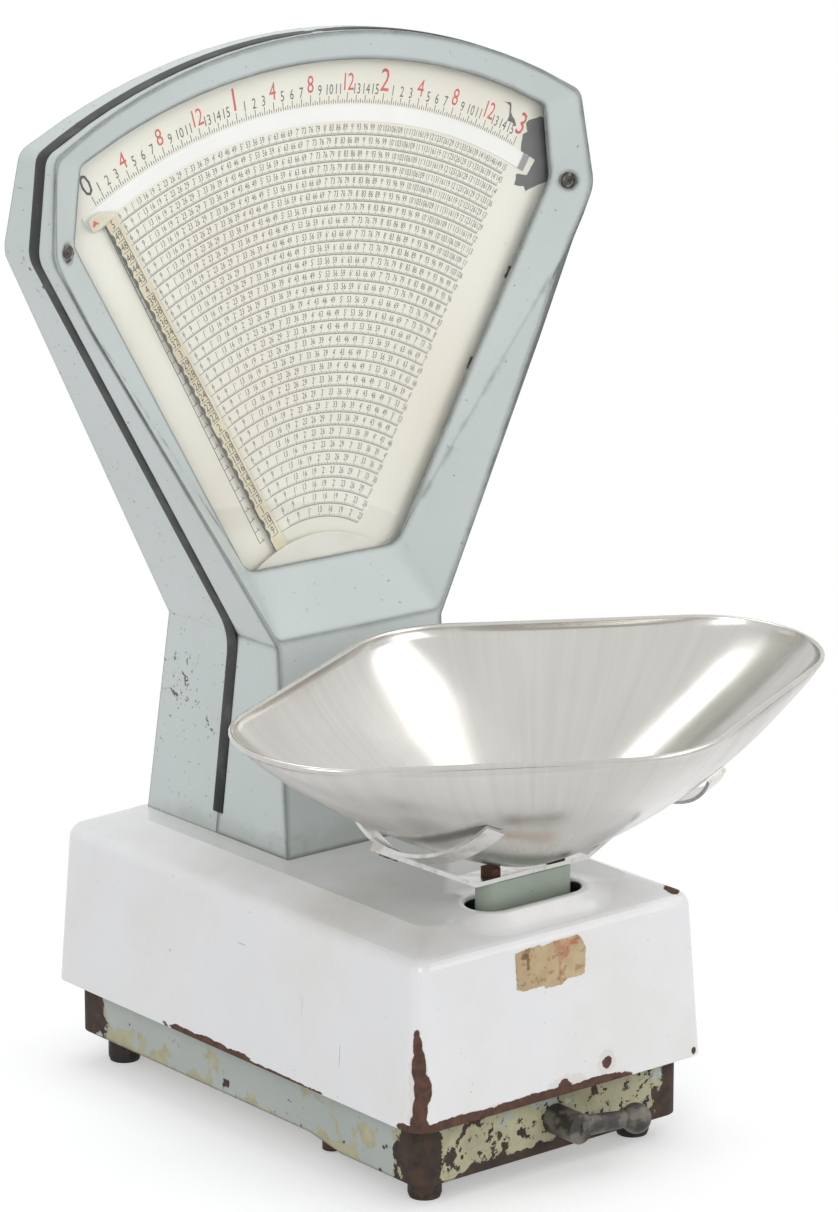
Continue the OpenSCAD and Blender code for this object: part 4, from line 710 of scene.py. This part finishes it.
# Printing on the dial: an outer scale of ounces with a figure at each, and a chart of
# thirty rows of prices inside it, all screen printed. Angles are in degrees from
# upright, the zero is at the left, and the full load of 48 ounces is at the right.
def new_tree(name, ins):
    """A Geometry Nodes tree with a mesh in and out, and these inputs as (name, kind, value)"""
    tree = bpy.data.node_groups.new(name, "GeometryNodeTree")
    tree.interface.new_socket("Mesh", in_out="INPUT", socket_type="NodeSocketGeometry")
    tree.interface.new_socket("Mesh", in_out="OUTPUT", socket_type="NodeSocketGeometry")
    for title, kind, value in ins:
        socket = tree.interface.new_socket(title, in_out="INPUT", socket_type="NodeSocket" + kind)
        if value is not None:
            socket.default_value = value
    return tree, tree.nodes.new("NodeGroupInput").outputs, tree.nodes.new("NodeGroupOutput").inputs


def reading(tree, name, kind="FLOAT"):
    """A named attribute's value"""
    node = add(tree, "GeometryNodeInputNamedAttribute", {"Name": name}, data_type=kind)
    return next(socket for socket in node.outputs if socket.enabled)


def stamping(name, shape):
    """A tree that puts a flat shape on each point, turned about the dial's middle"""
    tree, source, sink = new_tree(name, [("Lift", "Float", 0.06 * mm), ("Facing", "Float", 0.0),
                                         ("Finish", "Material", None)])
    stamp = shape(tree)
    turn = add(tree, "ShaderNodeCombineXYZ", {0: math.pi / 2, 1: reading(tree, "turn"), 2: source["Facing"]})
    size = add(tree, "ShaderNodeCombineXYZ", {0: reading(tree, "wide"), 1: reading(tree, "tall"), 2: 1.0})
    stamps = add(tree, "GeometryNodeInstanceOnPoints", {
        "Points": source["Mesh"], "Instance": stamp, "Pick Instance": True,
        "Instance Index": reading(tree, "figure", "INT"), "Rotation": turn.outputs[0],
        "Scale": size.outputs[0]})
    real = add(tree, "GeometryNodeRealizeInstances", {"Geometry": stamps.outputs[0]})
    off = add(tree, "ShaderNodeCombineXYZ", {0: 0.0, 1: calc(tree, "MULTIPLY", source["Lift"], -1.0), 2: 0.0})
    lifted = add(tree, "GeometryNodeSetPosition", {"Geometry": real.outputs[0], "Offset": off.outputs[0]})
    done = add(tree, "GeometryNodeSetMaterial", {"Geometry": lifted.outputs[0], "Material": source["Finish"]})
    tree.links.new(done.outputs[0], sink["Mesh"])
    return tree


def figure_shapes(tree):
    """The ten figures, each as a flat mesh with its foot at the origin"""
    figures = add(tree, "GeometryNodeStringToCurves", {"String": "0123456789", "Size": 1.0})
    origin = add(tree, "ShaderNodeCombineXYZ")
    stacked = add(tree, "GeometryNodeSetPosition", {
        "Geometry": figures.outputs[0], "Position": origin.outputs[0]})
    coarse = add(tree, "GeometryNodeSetSplineResolution", {"Geometry": stacked.outputs[0], "Resolution": 2})
    return add(tree, "GeometryNodeFillCurve", {"Curve": coarse.outputs[0]}).outputs[0]


def tick_shape(tree):
    """A flat line of length 1 that starts at the origin, as an instance"""
    line = add(tree, "GeometryNodeMeshGrid", {"Size X": 1.0, "Size Y": 1.0, "Vertices X": 2, "Vertices Y": 2})
    up = add(tree, "GeometryNodeTransform", {
        "Geometry": line.outputs["Mesh"], "Translation": (0.0, 0.5, 0.0)})
    return add(tree, "GeometryNodeGeometryToInstance", {"Geometry": up.outputs[0]}).outputs[0]


def grown(name, mesh, tree, values):
    """A piece with the plain mesh that a tree makes from this one"""
    piece = bpy.data.objects.new(name, mesh)
    bpy.context.scene.collection.objects.link(piece)
    maker = piece.modifiers.new("maker", "NODES")
    maker.node_group = tree
    for item in tree.interface.items_tree:
        if item.in_out == "INPUT" and item.name in values:
            maker[item.identifier] = values[item.name]
    ready = piece.evaluated_get(bpy.context.evaluated_depsgraph_get())
    finished = bpy.data.meshes.new_from_object(ready)
    piece.modifiers.remove(maker)
    piece.data = finished
    finished.name = name
    return piece


def printed(name, marks, depth, tree, ink, body, facing=0.0, lift=0.06 * mm):
    """Marks as (x, z, turn, wide, tall, figure) in mm and degrees, printed at this depth"""
    mesh = bpy.data.meshes.new(name + "_points")
    mesh.from_pydata([(x * mm, depth * mm, z * mm) for x, z, *_ in marks], [], [])
    flip = -1.0 if facing else 1.0
    for key, kind, values in (
        ("turn", "FLOAT", [math.radians(m[2]) * flip for m in marks]),
        ("wide", "FLOAT", [m[3] * mm for m in marks]),
        ("tall", "FLOAT", [m[4] * mm for m in marks]),
        ("figure", "INT", [m[5] for m in marks]),
    ):
        mesh.attributes.new(key, kind, "POINT").data.foreach_set("value", values)
    piece = grown(name, mesh, tree, {"Lift": lift, "Facing": facing, "Finish": ink})
    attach(piece, body)
    return piece


figure_stamps = stamping("figures", figure_shapes)
tick_stamps = stamping("ticks", tick_shape)
dial_y = 121.179
rear_y = 123.379
zero_turn = -29.75
full_sweep = 59.0
full_load = 48
glyph_wide = 0.44
glyph_tall = 0.69
glyph_gap = 0.03


def on_dial(turn, radius, across=0.0):
    """The x and z of a point at this angle and radius, and so far across to the right"""
    a = math.radians(turn)
    return radius * math.sin(a) + across * math.cos(a), pivot_z + radius * math.cos(a) - across * math.sin(a)


def number(text, turn, radius, tall, wide, pitch, mirror=1.0, aside=0.0):
    """Stamps for a number centred at this angle and outer radius, or so far aside of it"""
    marks = []
    for k, figure in enumerate(text):
        left = (k - (len(text) - 1) / 2) * pitch - wide / 2
        x, z = on_dial(turn, radius - tall / 2, mirror * (left - glyph_gap * wide / glyph_wide) + aside)
        marks.append((x, z, turn, wide / glyph_wide, tall / glyph_tall, int(figure)))
    return marks


def weight_scale(mirror=1.0):
    """Ticks, black numbers and red numbers of the ounce scale"""
    tick_radius, tick_wide = 361.2, 0.55
    zero_figure = (377.8, 15.8, 7.6, 8.0)
    pound_figure = (377.8, 15.6, 7.8, 8.0)
    quarter_figure = (375.8, 11.8, 5.4, 5.2)
    ounce_figure = (371.0, 7.1, 3.1, 3.6)
    ticks, black, red = [], [], []
    for k in range(full_load * 4 + 1):
        turn = zero_turn + full_sweep * k / (full_load * 4)
        tall = next(height for step, height in ((16, 7.2), (4, 5.4), (2, 3.0), (1, 2.1)) if k % step == 0)
        ticks.append((*on_dial(turn, tick_radius), turn, tick_wide, tall, 0))
    for ounce in range(full_load + 1):
        turn = zero_turn + full_sweep * ounce / full_load
        rest = ounce % 16
        if ounce == 0:
            black += number("0", turn, *zero_figure, mirror)
        elif rest == 0:
            red += number(str(ounce // 16), turn, *pound_figure, mirror)
        elif rest % 4 == 0:
            red += number(str(rest), turn, *quarter_figure, mirror)
        else:
            black += number(str(rest), turn, *ounce_figure, mirror)
    return ticks, black, red


def shillings(pence):
    """A sum of pence as it is printed: shillings, then pence without a gap"""
    whole, rest = divmod(pence, 12)
    return (str(whole) if whole else "") + (str(rest) if rest else "")


# Each row of the chart gives what every weight costs at one price, in pence for
# sixteen ounces: a line with two ticks for a penny, and a sum at every third penny.
prices = (9, 10, 12, 14, 15, 16, 18, 20, 21, 22, 24, 26, 27, 28, 30,
          32, 33, 36, 38, 40, 42, 44, 45, 48, 51, 52, 54, 56, 57, 60)
row_low = 76.0
row_pitch = 9.09
fine_line = 0.36
sum_figure = (4.4, 1.75, 2.0)
sum_rise = 5.4
point_rise = 6.2
chart_ticks, chart_figures = [], []
for row, price in enumerate(prices):
    base = row_low + row_pitch * row
    total = 3 * price
    for k in range(12, 2 * total + 1):
        turn = zero_turn + full_sweep * k / (2 * total)
        chart_ticks.append((*on_dial(turn, base), turn, fine_line, 2.6 if k % 6 == 0 else 1.5, 0))
    for pence in range(6, total + 1, 3):
        turn = zero_turn + full_sweep * pence / total
        text = shillings(pence)
        chart_figures += number(text, turn, base + sum_rise, *sum_figure)
        if pence % 12 == 0:
            after_text = 0.98 * len(text) + 0.5
            chart_ticks.append((*on_dial(turn, base + point_rise, after_text), turn, 0.3, 1.1, 0))
    parts = max(16, int(base / 5))
    length = 2 * base * math.tan(math.radians(full_sweep / parts / 2)) + 0.05
    for k in range(parts):
        turn = zero_turn + full_sweep * (k + 0.5) / parts
        chart_ticks.append((*on_dial(turn, base, -length / 2), turn + 90, fine_line, length, 0))

ink = plain_finish("black printing ink", 200.0, (44, 44, 41), (66, 65, 60), Roughness=0.5)
red_ink = plain_finish("red printing ink", 120.0, (200, 66, 62), (214, 88, 80), Roughness=0.5)
ticks, black, red = weight_scale()
for name, marks, stamps, finish in (
    ("scale_ticks", ticks, tick_stamps, ink), ("scale_figures", black, figure_stamps, ink),
    ("scale_red_figures", red, figure_stamps, red_ink), ("chart_lines", chart_ticks, tick_stamps, ink),
    ("chart_figures", chart_figures, figure_stamps, ink),
):
    printed(name, marks, dial_y, stamps, finish, "stand")
ticks, black, red = weight_scale(-1.0)
for name, marks, stamps, finish in (
    ("rear_ticks", ticks, tick_stamps, ink), ("rear_figures", black, figure_stamps, ink),
    ("rear_red_figures", red, figure_stamps, red_ink),
):
    printed(name, marks, rear_y, stamps, finish, "stand", facing=math.pi, lift=-0.06 * mm)

# Ladder of empty boxes printed beside the zero, which the pointer's strip covers in part
rest_turn = -29.8
ladder_low = 80.0
rung_pitch = 9.0
rungs = 31
rung_long = 5.0
ladder_line = 0.45
ladder_left, ladder_drift, side_turn = -8.9, 7.7 / 270, 1.64
ladder = []
for k in range(rungs):
    radius = ladder_low + rung_pitch * k
    left = ladder_left + ladder_drift * (radius - ladder_low)
    ladder.append((*on_dial(rest_turn, radius, left), rest_turn + 90, ladder_line, rung_long, 0))
    if k < rungs - 1:
        ladder.append((*on_dial(rest_turn, radius, left), rest_turn + side_turn, ladder_line, 9.02, 0))
        ladder.append((*on_dial(rest_turn, radius + 0.2, left + 3.4), rest_turn, ladder_line, 2.2, 0))
printed("ladder_lines", ladder, dial_y, tick_stamps, ink, "stand")


# Torn place: at the right end the dial's coating has come off, down to dark grey
# sheet, with a torn sliver beside it. Points are angle and radius about the pivot.
def cut_sheet(name, outline, depth, material, body, jitter=0.25):
    """A flat shape in front of the dial, its edge ragged by the jitter"""
    tear_step = 1.2
    shaker = random.Random(len(outline))
    edge = []
    for (x0, z0), (x1, z1) in zip(outline, outline[1:] + outline[:1]):
        steps = max(1, int(math.hypot(x1 - x0, z1 - z0) / tear_step)) if jitter else 1
        for k in range(steps):
            t = k / steps
            edge.append((x0 + (x1 - x0) * t + shaker.uniform(-jitter, jitter),
                         z0 + (z1 - z0) * t + shaker.uniform(-jitter, jitter)))
    flat = bmesh.new()
    face = flat.faces.new([flat.verts.new((x * mm, depth * mm, z * mm)) for x, z in edge])
    face.normal_update()
    if face.normal.y > 0:
        face.normal_flip()
    bmesh.ops.triangulate(flat, faces=[face])
    mesh = bpy.data.meshes.new(name)
    flat.to_mesh(mesh)
    flat.free()
    return placed(name, mesh, material, body)


bare_sheet, tree, skin, place = new_finish("bare dark sheet")
streak = add(tree, "ShaderNodeMapping", {
    "Vector": place, "Rotation": (0.0, 0.7, 0.0), "Scale": (20.0, 20.0, 260.0)})
dark = two_tone(tree, streak.outputs[0], 1.0, (84, 84, 84), (98, 98, 97))
feed(tree, skin, Base_Color=dark, Roughness=0.55)
bare_edge = [on_dial(a, r) for a, r in (
    (32.6, 390.5), (31.9, 390.3), (31.1, 388.8), (30.6, 385.8), (30.0, 382.8), (29.75, 379.5), (30.4, 374.9),
    (29.94, 372), (30.19, 367), (30.4, 362.8), (30.6, 360.9), (33.0, 361.0), (32.9, 349.0), (31.3, 345.3),
    (31.6, 342), (31.75, 337.8), (33.2, 340.8), (33.75, 338.7))]
bare_edge += [(196, 611), (205.5, 613), (212, 612), (212, 655.5)]
cut_sheet("bare_patch", bare_edge, dial_y - 0.1, bare_sheet, "stand")
sliver = [on_dial(a, r) for a, r in (
    (25.7, 385.3), (26.2, 386.1), (26.8, 387.2), (27.0, 385.6), (27.3, 381), (27.6, 379.4), (28.1, 377.8),
    (28.7, 374.2), (27.9, 375.0), (27.2, 374.6), (27.2, 378.5), (26.8, 384.8), (26.2, 385.6))]
cut_sheet("torn_sliver", sliver, dial_y - 0.1, bare_sheet, "stand", jitter=0.0)

# Frame inside the case: cast iron brackets, painted grey, that are bolted to the base
# floor and behind the dial. They carry the spindle, the lever and the stay.
frame_iron = plain_finish("grey painted casting", 30.0, (112, 122, 116), (92, 100, 96),
                          relief=(400.0, 0.6, 0.0004), Roughness=0.6)
dress(frame_iron, "head_frame", "spindle_bridge", "fulcrum_stands", "stay_bracket")

# Lever, spider and pendulum arm: cast iron, painted dark. The spider under the post
# rests on the lever, and the lever pulls the pendulum round by the rod.
lever_iron = plain_finish("dark lever iron", 35.0, (84, 88, 86), (62, 66, 66),
                          relief=(420.0, 0.6, 0.0004), Roughness=0.55, Metallic=0.2)
dress(lever_iron, "main_lever", "platform_spider", "pendulum_arm")

# Knife edges, bearings, pins, links and spindles: hardened and ground steel, pressed
# into the castings that they turn in.
hard_steel = plain_finish("ground steel", 60.0, (168, 170, 172), (138, 140, 142), Metallic=1.0,
                          Roughness=(300.0, 0.22, 0.36))
dress(hard_steel, "fulcrum_bearings", "load_bearings", "fulcrum_knives", "load_knives", "nose_knife",
      "dashpot_pin", "stay_link", "spider_pin", "dashpot_plunger", "pointer_spindle", "connecting_rod",
      "lock_shaft")

# Spindle bearings, dashpot and bush of the locking shaft: turned brass, browned by
# age. The dashpot's oil damps the lever's swing.
brass = plain_finish("browned brass", 45.0, (182, 156, 92), (142, 116, 68), Metallic=1.0,
                     Roughness=(160.0, 0.28, 0.5))
dress(brass, "spindle_bearings", "dashpot_cylinder", "dashpot_cap", "lock_bush")

# Weight on the pendulum arm: cast lead, dull and slightly lumpy, held on the arm's
# end. It balances the load, and its place sets the reading.
lead = plain_finish("cast lead", 50.0, (112, 114, 118), (90, 92, 96), relief=(240.0, 0.5, 0.0005),
                    Metallic=0.7, Roughness=0.6)
dress(lead, "pendulum_bob")

# Pointer: a dark sheet blade on the spindle. A cream paper strip glued to it has a
# scalloped left edge and a box with a price for each row of the chart, and a tag of
# thin film with a red mark is curled over its tip.
blade_paint = plain_finish("dark blade", 60.0, (70, 70, 66), (92, 91, 84), Roughness=0.5)
strip_paper = plain_finish("cream paper strip", 24.0, (222, 214, 190), (208, 197, 168), Roughness=0.55)
blade_y = 117.879
blade_long = 350.0
blade_left, blade_right = -2.4, 8.0
hub_radius = 12.0
blade_y = 117.879


def along_pointer(radius, across):
    """The x and z of a point on the pointer at rest, so far out and across"""
    return on_dial(rest_turn, radius, across)


hub = [on_dial(t, hub_radius) for t in range(-200, 141, 20)]
blade_edge = [along_pointer(radius, across) for radius, across in (
    (hub_radius, blade_left), (blade_long, blade_left), (blade_long, blade_right), (78.0, blade_right),
    (16.0, 3.4))]
blade_edge += hub[1:-1]
corners = len(blade_edge)
blade_mesh = bmesh.new()
front_verts, back_verts = [
    [blade_mesh.verts.new([c * mm for c in (x, blade_y + behind, z)]) for x, z in blade_edge]
    for behind in (0.12, 0.8)]
blade_mesh.faces.new(front_verts)
blade_mesh.faces.new(back_verts[::-1])
for k in range(corners):
    after = (k + 1) % corners
    blade_mesh.faces.new((front_verts[k], back_verts[k], back_verts[after], front_verts[after]))
bmesh.ops.recalc_face_normals(blade_mesh, faces=blade_mesh.faces[:])
bmesh.ops.triangulate(blade_mesh, faces=blade_mesh.faces[:])
mesh = bpy.data.meshes.new("pointer_blade")
blade_mesh.to_mesh(mesh)
blade_mesh.free()
blade = placed("pointer_blade", mesh, blade_paint, "pendulum")
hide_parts("pointer")

box_pitch = 9.0
box_low = 79.0
box_line = 0.45
box_left, box_right = 0.2, 5.8
scallop_deep = 1.5
strip_left = -1.6
price_figure = (6.0, 2.4, 2.75)
strip_edge = [along_pointer(52.0, 8.0), along_pointer(52.0, -1.8), along_pointer(box_low, -2.0)]
for k, price in enumerate(prices):
    plain = price % 12 == 0 and k > 1
    for t in (0.0, 0.25, 0.5, 0.75):
        bite = 0.0 if plain else scallop_deep * math.sin(math.pi * t)
        strip_edge.append(along_pointer(box_low + box_pitch * (k + t), strip_left + bite))
strip_edge += [along_pointer(349.0, strip_left), along_pointer(349.0, 8.2)]
cut_sheet("price_strip", strip_edge, blade_y + 0.06, strip_paper, "pendulum", jitter=0.0)
box_lines, box_figures = [], []
for k, price in enumerate(prices):
    low_edge = box_low + box_pitch * k
    if price % 12 != 0:
        for radius in (low_edge, low_edge + box_pitch):
            box_lines.append((*along_pointer(radius, box_left), rest_turn + 90, box_line, box_right - box_left, 0))
        box_lines.append((*along_pointer(low_edge, box_right), rest_turn, box_line, box_pitch, 0))
    box_figures += number(shillings(price), rest_turn, low_edge + box_pitch / 2, *price_figure, aside=3.0)
printed("strip_lines", box_lines, blade_y, tick_stamps, ink, "pendulum", lift=0.0)
printed("strip_figures", box_figures, blade_y, figure_stamps, ink, "pendulum", lift=0.0)

film = plain_finish("curled cream film", 50.0, (222, 216, 196), (202, 194, 170), Roughness=0.4)
tag_left, tag_wide = -13.0, 21.0
tag_top, tag_bottom = 358.6, 348.6
right_droop, left_droop, sag = 7.5, 1.2, 1.0
tag_long, tag_high = 14, 8
tag_points = []
for j in range(tag_high + 1):
    for k in range(tag_long + 1):
        u, v = k / tag_long, j / tag_high
        top = tag_top - right_droop * max(0.0, u - 0.45) / 0.55 - left_droop * max(0.0, 0.12 - u) / 0.12
        bottom = tag_bottom - sag * math.sin(math.pi * u)
        x, z = along_pointer(bottom + (top - bottom) * v, tag_left + tag_wide * u)
        curl = 0.9 * math.sin(math.pi * u) ** 2 * (1 - v) + 0.35 * math.sin(3 * math.pi * u + 1.0) * v
        tag_points.append((x * mm, (blade_y - 0.35 - 0.5 * abs(curl)) * mm, z * mm))
corners = [j * (tag_long + 1) + k for j in range(tag_high) for k in range(tag_long)]
tag_faces = [(a, a + 1, a + tag_long + 2, a + tag_long + 1) for a in corners]
tag = new_piece("tip_tag", tag_points, tag_faces, film, "pendulum")
thick = tag.modifiers.new("film thickness", "SOLIDIFY")
thick.thickness = 0.15 * mm
arrow = [along_pointer(r, x) for r, x in ((356.2, -8.6), (351.6, -5.6), (352.8, -8.2), (352.0, -11.2))]
cut_sheet("red_mark", arrow, blade_y - 0.95, red_ink, "pendulum", jitter=0.0)

# Rear pointer: a short blade of sheet, painted black, on the same spindle. It shows
# the customer the weight.
pointer_black = plain_finish("black pointer", 40.0, (30, 30, 30), (46, 45, 44), Roughness=0.45)
dress(pointer_black, "rear_pointer")

# Post: a cast oval column in the same sage green as the base, darker and scuffed. It
# stands on the spider and comes up through the collar.
post_paint, tree, skin, place = new_finish("sage paint on the post")
green = two_tone(tree, place, 20.0, (146, 156, 142), (158, 168, 156))
worn = grouped(tree, wear, Place=place, Reach=0.0015, Grain=80.0, Level=0.5)
scuffed = grouped(tree, patches, Place=place, Grain=90.0, Level=0.66, Edge=0.02)
bare = calc(tree, "MAXIMUM", worn, scuffed)
feed(tree, skin, Base_Color=over(tree, bare, green, tint(96, 96, 86)),
     Roughness=between(tree, bare, 0.4, 0.65))
lumpy(tree, calc(tree, "MULTIPLY", bare, -1.0), 0.5, 0.0003, skin)
dress(post_paint, "platform_post")

# Cradle strip and straps: bright steel strip, scratched where the pan sits. The strip
# is bolted on the post, and the curved straps are riveted to its ends.
strap_metal, tree, skin, place = new_finish("bright strip")
stretch = add(tree, "ShaderNodeMapping", {"Vector": place, "Scale": (60.0, 8.0, 60.0)}).outputs[0]
scratches = add(tree, "ShaderNodeTexNoise", {"Vector": stretch, "Scale": 6.0, "Detail": 6.0}).outputs[0]
tarnish = grouped(tree, patches, Place=place, Grain=60.0, Level=0.56, Edge=0.08)
feed(tree, skin, Base_Color=over(tree, tarnish, tint(206, 205, 202), tint(182, 178, 172)), Metallic=1.0,
     Roughness=between(tree, scratches, 0.1, 0.3))
lumpy(tree, scratches, 0.25, 0.0002, skin)
dress(strap_metal, "cradle_strip", "cradle_straps")

# Cradle bolts: two hexagon bolts of plain steel that hold the cradle strip down on
# the post. They are brown with rust.
rusty_steel = plain_finish("rusty bolt steel", 200.0, (66, 44, 36), (104, 70, 50),
                           relief=(600.0, 0.6, 0.0004), Roughness=0.75, Metallic=0.3)
dress(rusty_steel, "cradle_bolts")


# Pan: one sheet of aluminium, pressed deep and polished, with its rim rolled outwards.
# Its plan has straight flanks between round sides and round ends and turns into an
# ellipse on the way down, and every section shrinks along the same curve of depth.
class Reckoned:
    """A value in a tree that takes part in plain arithmetic"""

    def __init__(self, tree, value):
        self.tree = tree
        self.value = value

    def step(self, kind, *others):
        return Reckoned(self.tree, calc(self.tree, kind, *[getattr(o, "value", o) for o in (self, *others)]))

    def __add__(self, other):
        return self.step("ADD", other)

    def __sub__(self, other):
        return self.step("SUBTRACT", other)

    def __rsub__(self, other):
        return (self - other).step("MULTIPLY", -1.0)

    def __mul__(self, other):
        return self.step("MULTIPLY", other)

    def __truediv__(self, other):
        return self.step("DIVIDE", other)

    def __pow__(self, other):
        return self.step("POWER", other)


pan_tree, source, sink = new_tree("pressed pan", [
    ("Length", "Float", 468.0), ("Width", "Float", 297.0), ("End radius", "Float", 72.5),
    ("Side radius", "Float", 99.6), ("Tip", "Float", math.radians(3.4)), ("Finish", "Material", None),
])
half_l = Reckoned(pan_tree, source["Length"]) / 2.0
half_w = Reckoned(pan_tree, source["Width"]) / 2.0
end_r = Reckoned(pan_tree, source["End radius"])
side_r = Reckoned(pan_tree, source["Side radius"])
turn = Reckoned(pan_tree, reading(pan_tree, "turn"))
share = Reckoned(pan_tree, reading(pan_tree, "share"))
end_c = half_l - end_r
side_c = half_w - side_r
along = turn.step("COSINE").step("ABSOLUTE")
across = turn.step("SINE").step("ABSOLUTE")
apart = (end_c * end_c + side_c * side_c).step("SQRT")
flank = ((end_r - side_r) / apart).step("ARCCOSINE") - end_c.step("ARCTAN2", side_c)
flank_x = flank.step("SINE")
flank_y = flank.step("COSINE")
flank_d = flank_y * side_c + side_r
side_from = (side_c + side_r * flank_y).step("ARCTAN2", side_r * flank_x)
end_to = (end_r * flank_y).step("ARCTAN2", end_c + end_r * flank_x)
straight = flank_d / (flank_x * along + flank_y * across)
end_gap = end_r * end_r - (end_c * across) * (end_c * across)
end_reach = end_c * along + end_gap.step("MAXIMUM", 0.0).step("SQRT")
side_gap = side_r * side_r - (side_c * along) * (side_c * along)
side_reach = side_c * across + side_gap.step("MAXIMUM", 0.0).step("SQRT")
bearing = across.step("ARCTAN2", along)
plan = straight + (end_reach - straight) * bearing.step("LESS_THAN", end_to)
plan = plan + (side_reach - straight) * bearing.step("GREATER_THAN", side_from)
ellipse = ((along / half_l) ** 2.0 + (across / half_w) ** 2.0) ** -0.5
bow, pull, flat_share = 1.3, 1 / 1.2, 0.12
flat_bow = 1 - flat_share ** bow
steep = (1.0 - share ** bow).step("MAXIMUM", 0.0) ** pull
knee = flat_bow ** pull
slope = bow * pull * flat_share ** (bow - 1) * flat_bow ** (pull - 1)
dished = (flat_share ** 2 - share ** 2.0) * (slope / (2 * flat_share)) + knee
fall = dished + (steep - dished) * share.step("GREATER_THAN", flat_share)
rounding = fall ** 0.7
reach = (plan + (ellipse - plan) * rounding) * share + Reckoned(pan_tree, reading(pan_tree, "grow"))
height = Reckoned(pan_tree, reading(pan_tree, "lift")) - fall * Reckoned(pan_tree, reading(pan_tree, "deep"))
spread = add(pan_tree, "ShaderNodeCombineXYZ", {
    0: (reach * turn.step("COSINE") * mm).value, 1: (reach * turn.step("SINE") * mm).value,
    2: (height * mm).value})
shaped = add(pan_tree, "GeometryNodeSetPosition", {"Geometry": source["Mesh"], "Position": spread.outputs[0]})
pan_seat = (0.0, -0.114321, 0.329)
tipped = add(pan_tree, "ShaderNodeCombineXYZ", {0: source["Tip"], 1: 0.0, 2: 0.0})
seated = add(pan_tree, "GeometryNodeTransform", {
    "Geometry": shaped.outputs[0], "Translation": pan_seat, "Rotation": tipped.outputs[0]})
smooth = add(pan_tree, "GeometryNodeSetShadeSmooth", {"Geometry": seated.outputs[0]})
finish = add(pan_tree, "GeometryNodeSetMaterial", {
    "Geometry": smooth.outputs[0], "Material": source["Finish"]})
pan_tree.links.new(finish.outputs[0], sink["Mesh"])

pan_metal, tree, skin, place = new_finish("polished pan")
clouds = mottled(tree, place, 7.0)
fine = add(tree, "ShaderNodeTexNoise", {"Vector": place, "Scale": 420.0, "Detail": 3.0}).outputs[0]
dents = mottled(tree, place, 26.0, detail=1.0)
centred = add(tree, "ShaderNodeVectorMath", {0: place, 1: (0.0, -0.1143, 0.0)}, operation="SUBTRACT")
from_middle = add(tree, "ShaderNodeSeparateXYZ", {0: centred.outputs[0]}).outputs
bearing = calc(tree, "ARCTAN2", from_middle[1], from_middle[0])
round_place = add(tree, "ShaderNodeCombineXYZ", {
    0: calc(tree, "MULTIPLY", calc(tree, "SINE", bearing), 9.0),
    1: calc(tree, "MULTIPLY", calc(tree, "COSINE", bearing), 9.0),
    2: calc(tree, "MULTIPLY", from_middle[2], 3.0),
}).outputs[0]
streaks = mottled(tree, round_place, 3.0, detail=8.0)
colour = over(tree, clouds, tint(196, 194, 189), tint(208, 206, 202))
colour = over(tree, calc(tree, "MULTIPLY", streaks, 0.22), colour, tint(172, 166, 156))
duller = calc(tree, "MULTIPLY", streaks, 0.04)
feed(tree, skin, Base_Color=colour, Metallic=1.0,
     Roughness=calc(tree, "ADD", duller, mottled(tree, place, 16.0, 0.15, 0.25)))
lumpy(tree, calc(tree, "ADD", calc(tree, "MULTIPLY", fine, 0.05), dents), 0.16, 0.0007, skin)

wall = 1.2
pan_deep = 124.0
rim_high = 4.0
rim_radius = 2
shares = (0.03, 0.06, 0.1, 0.14, 0.19, 0.25, 0.31, 0.38, 0.45, 0.52,
          0.59, 0.66, 0.72, 0.78, 0.83, 0.88, 0.92, 0.95, 0.97, 0.984)
profile = [(f, 0.0, rim_high, pan_deep) for f in shares]
for degrees in range(-60, 181, 20):
    a = math.radians(degrees)
    profile.append((1.0, rim_radius * (math.cos(a) - 1), rim_high + rim_radius * (math.sin(a) - 1), pan_deep))
profile += [(f, -1.7 * wall, rim_high, pan_deep - wall) for f in reversed(shares)]
sides = 144
values = {"turn": [], "share": [], "grow": [], "lift": [], "deep": []}
for share_at, grow_by, lift_by, depth in profile:
    for k in range(sides):
        for key, value in zip(values, (2 * math.pi * k / sides, share_at, grow_by, lift_by, depth)):
            values[key].append(value)
for depth in (pan_deep, pan_deep - wall):
    for key, value in zip(values, (0.0, 0.0, 0.0, rim_high, depth)):
        values[key].append(value)
rings = len(profile)
low_pole, high_pole = rings * sides, rings * sides + 1
faces = tube_faces(rings, sides)
faces += [((k + 1) % sides, k, low_pole) for k in range(sides)]
faces += [((rings - 1) * sides + k, (rings - 1) * sides + (k + 1) % sides, high_pole) for k in range(sides)]
lattice = bpy.data.meshes.new("pan_lattice")
lattice.from_pydata([(0.001 * k, 0, 0) for k in range(rings * sides + 2)], [], faces)
for key, numbers in values.items():
    lattice.attributes.new(key, "FLOAT", "POINT").data.foreach_set("value", numbers)
pan = grown("weighing_pan", lattice, pan_tree, {"Finish": pan_metal})
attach(pan, "pan_body")
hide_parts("pan")

# Locking lever: cast iron with a ball knob, worn black with grey rubbed places. It is
# pinned on the shaft that comes out through the front of the base.
handle_iron, tree, skin, place = new_finish("worn black lever")
rubbed = grouped(tree, patches, Place=place, Grain=60.0, Level=0.52, Edge=0.08)
feed(tree, skin, Base_Color=over(tree, rubbed, tint(58, 54, 50), tint(112, 108, 100)), Metallic=0.35,
     Roughness=mottled(tree, place, 120.0, 0.35, 0.6))
lumpy(tree, mottled(tree, place, 500.0), 0.4, 0.0003, skin)
dress(handle_iron, "lock_handle")
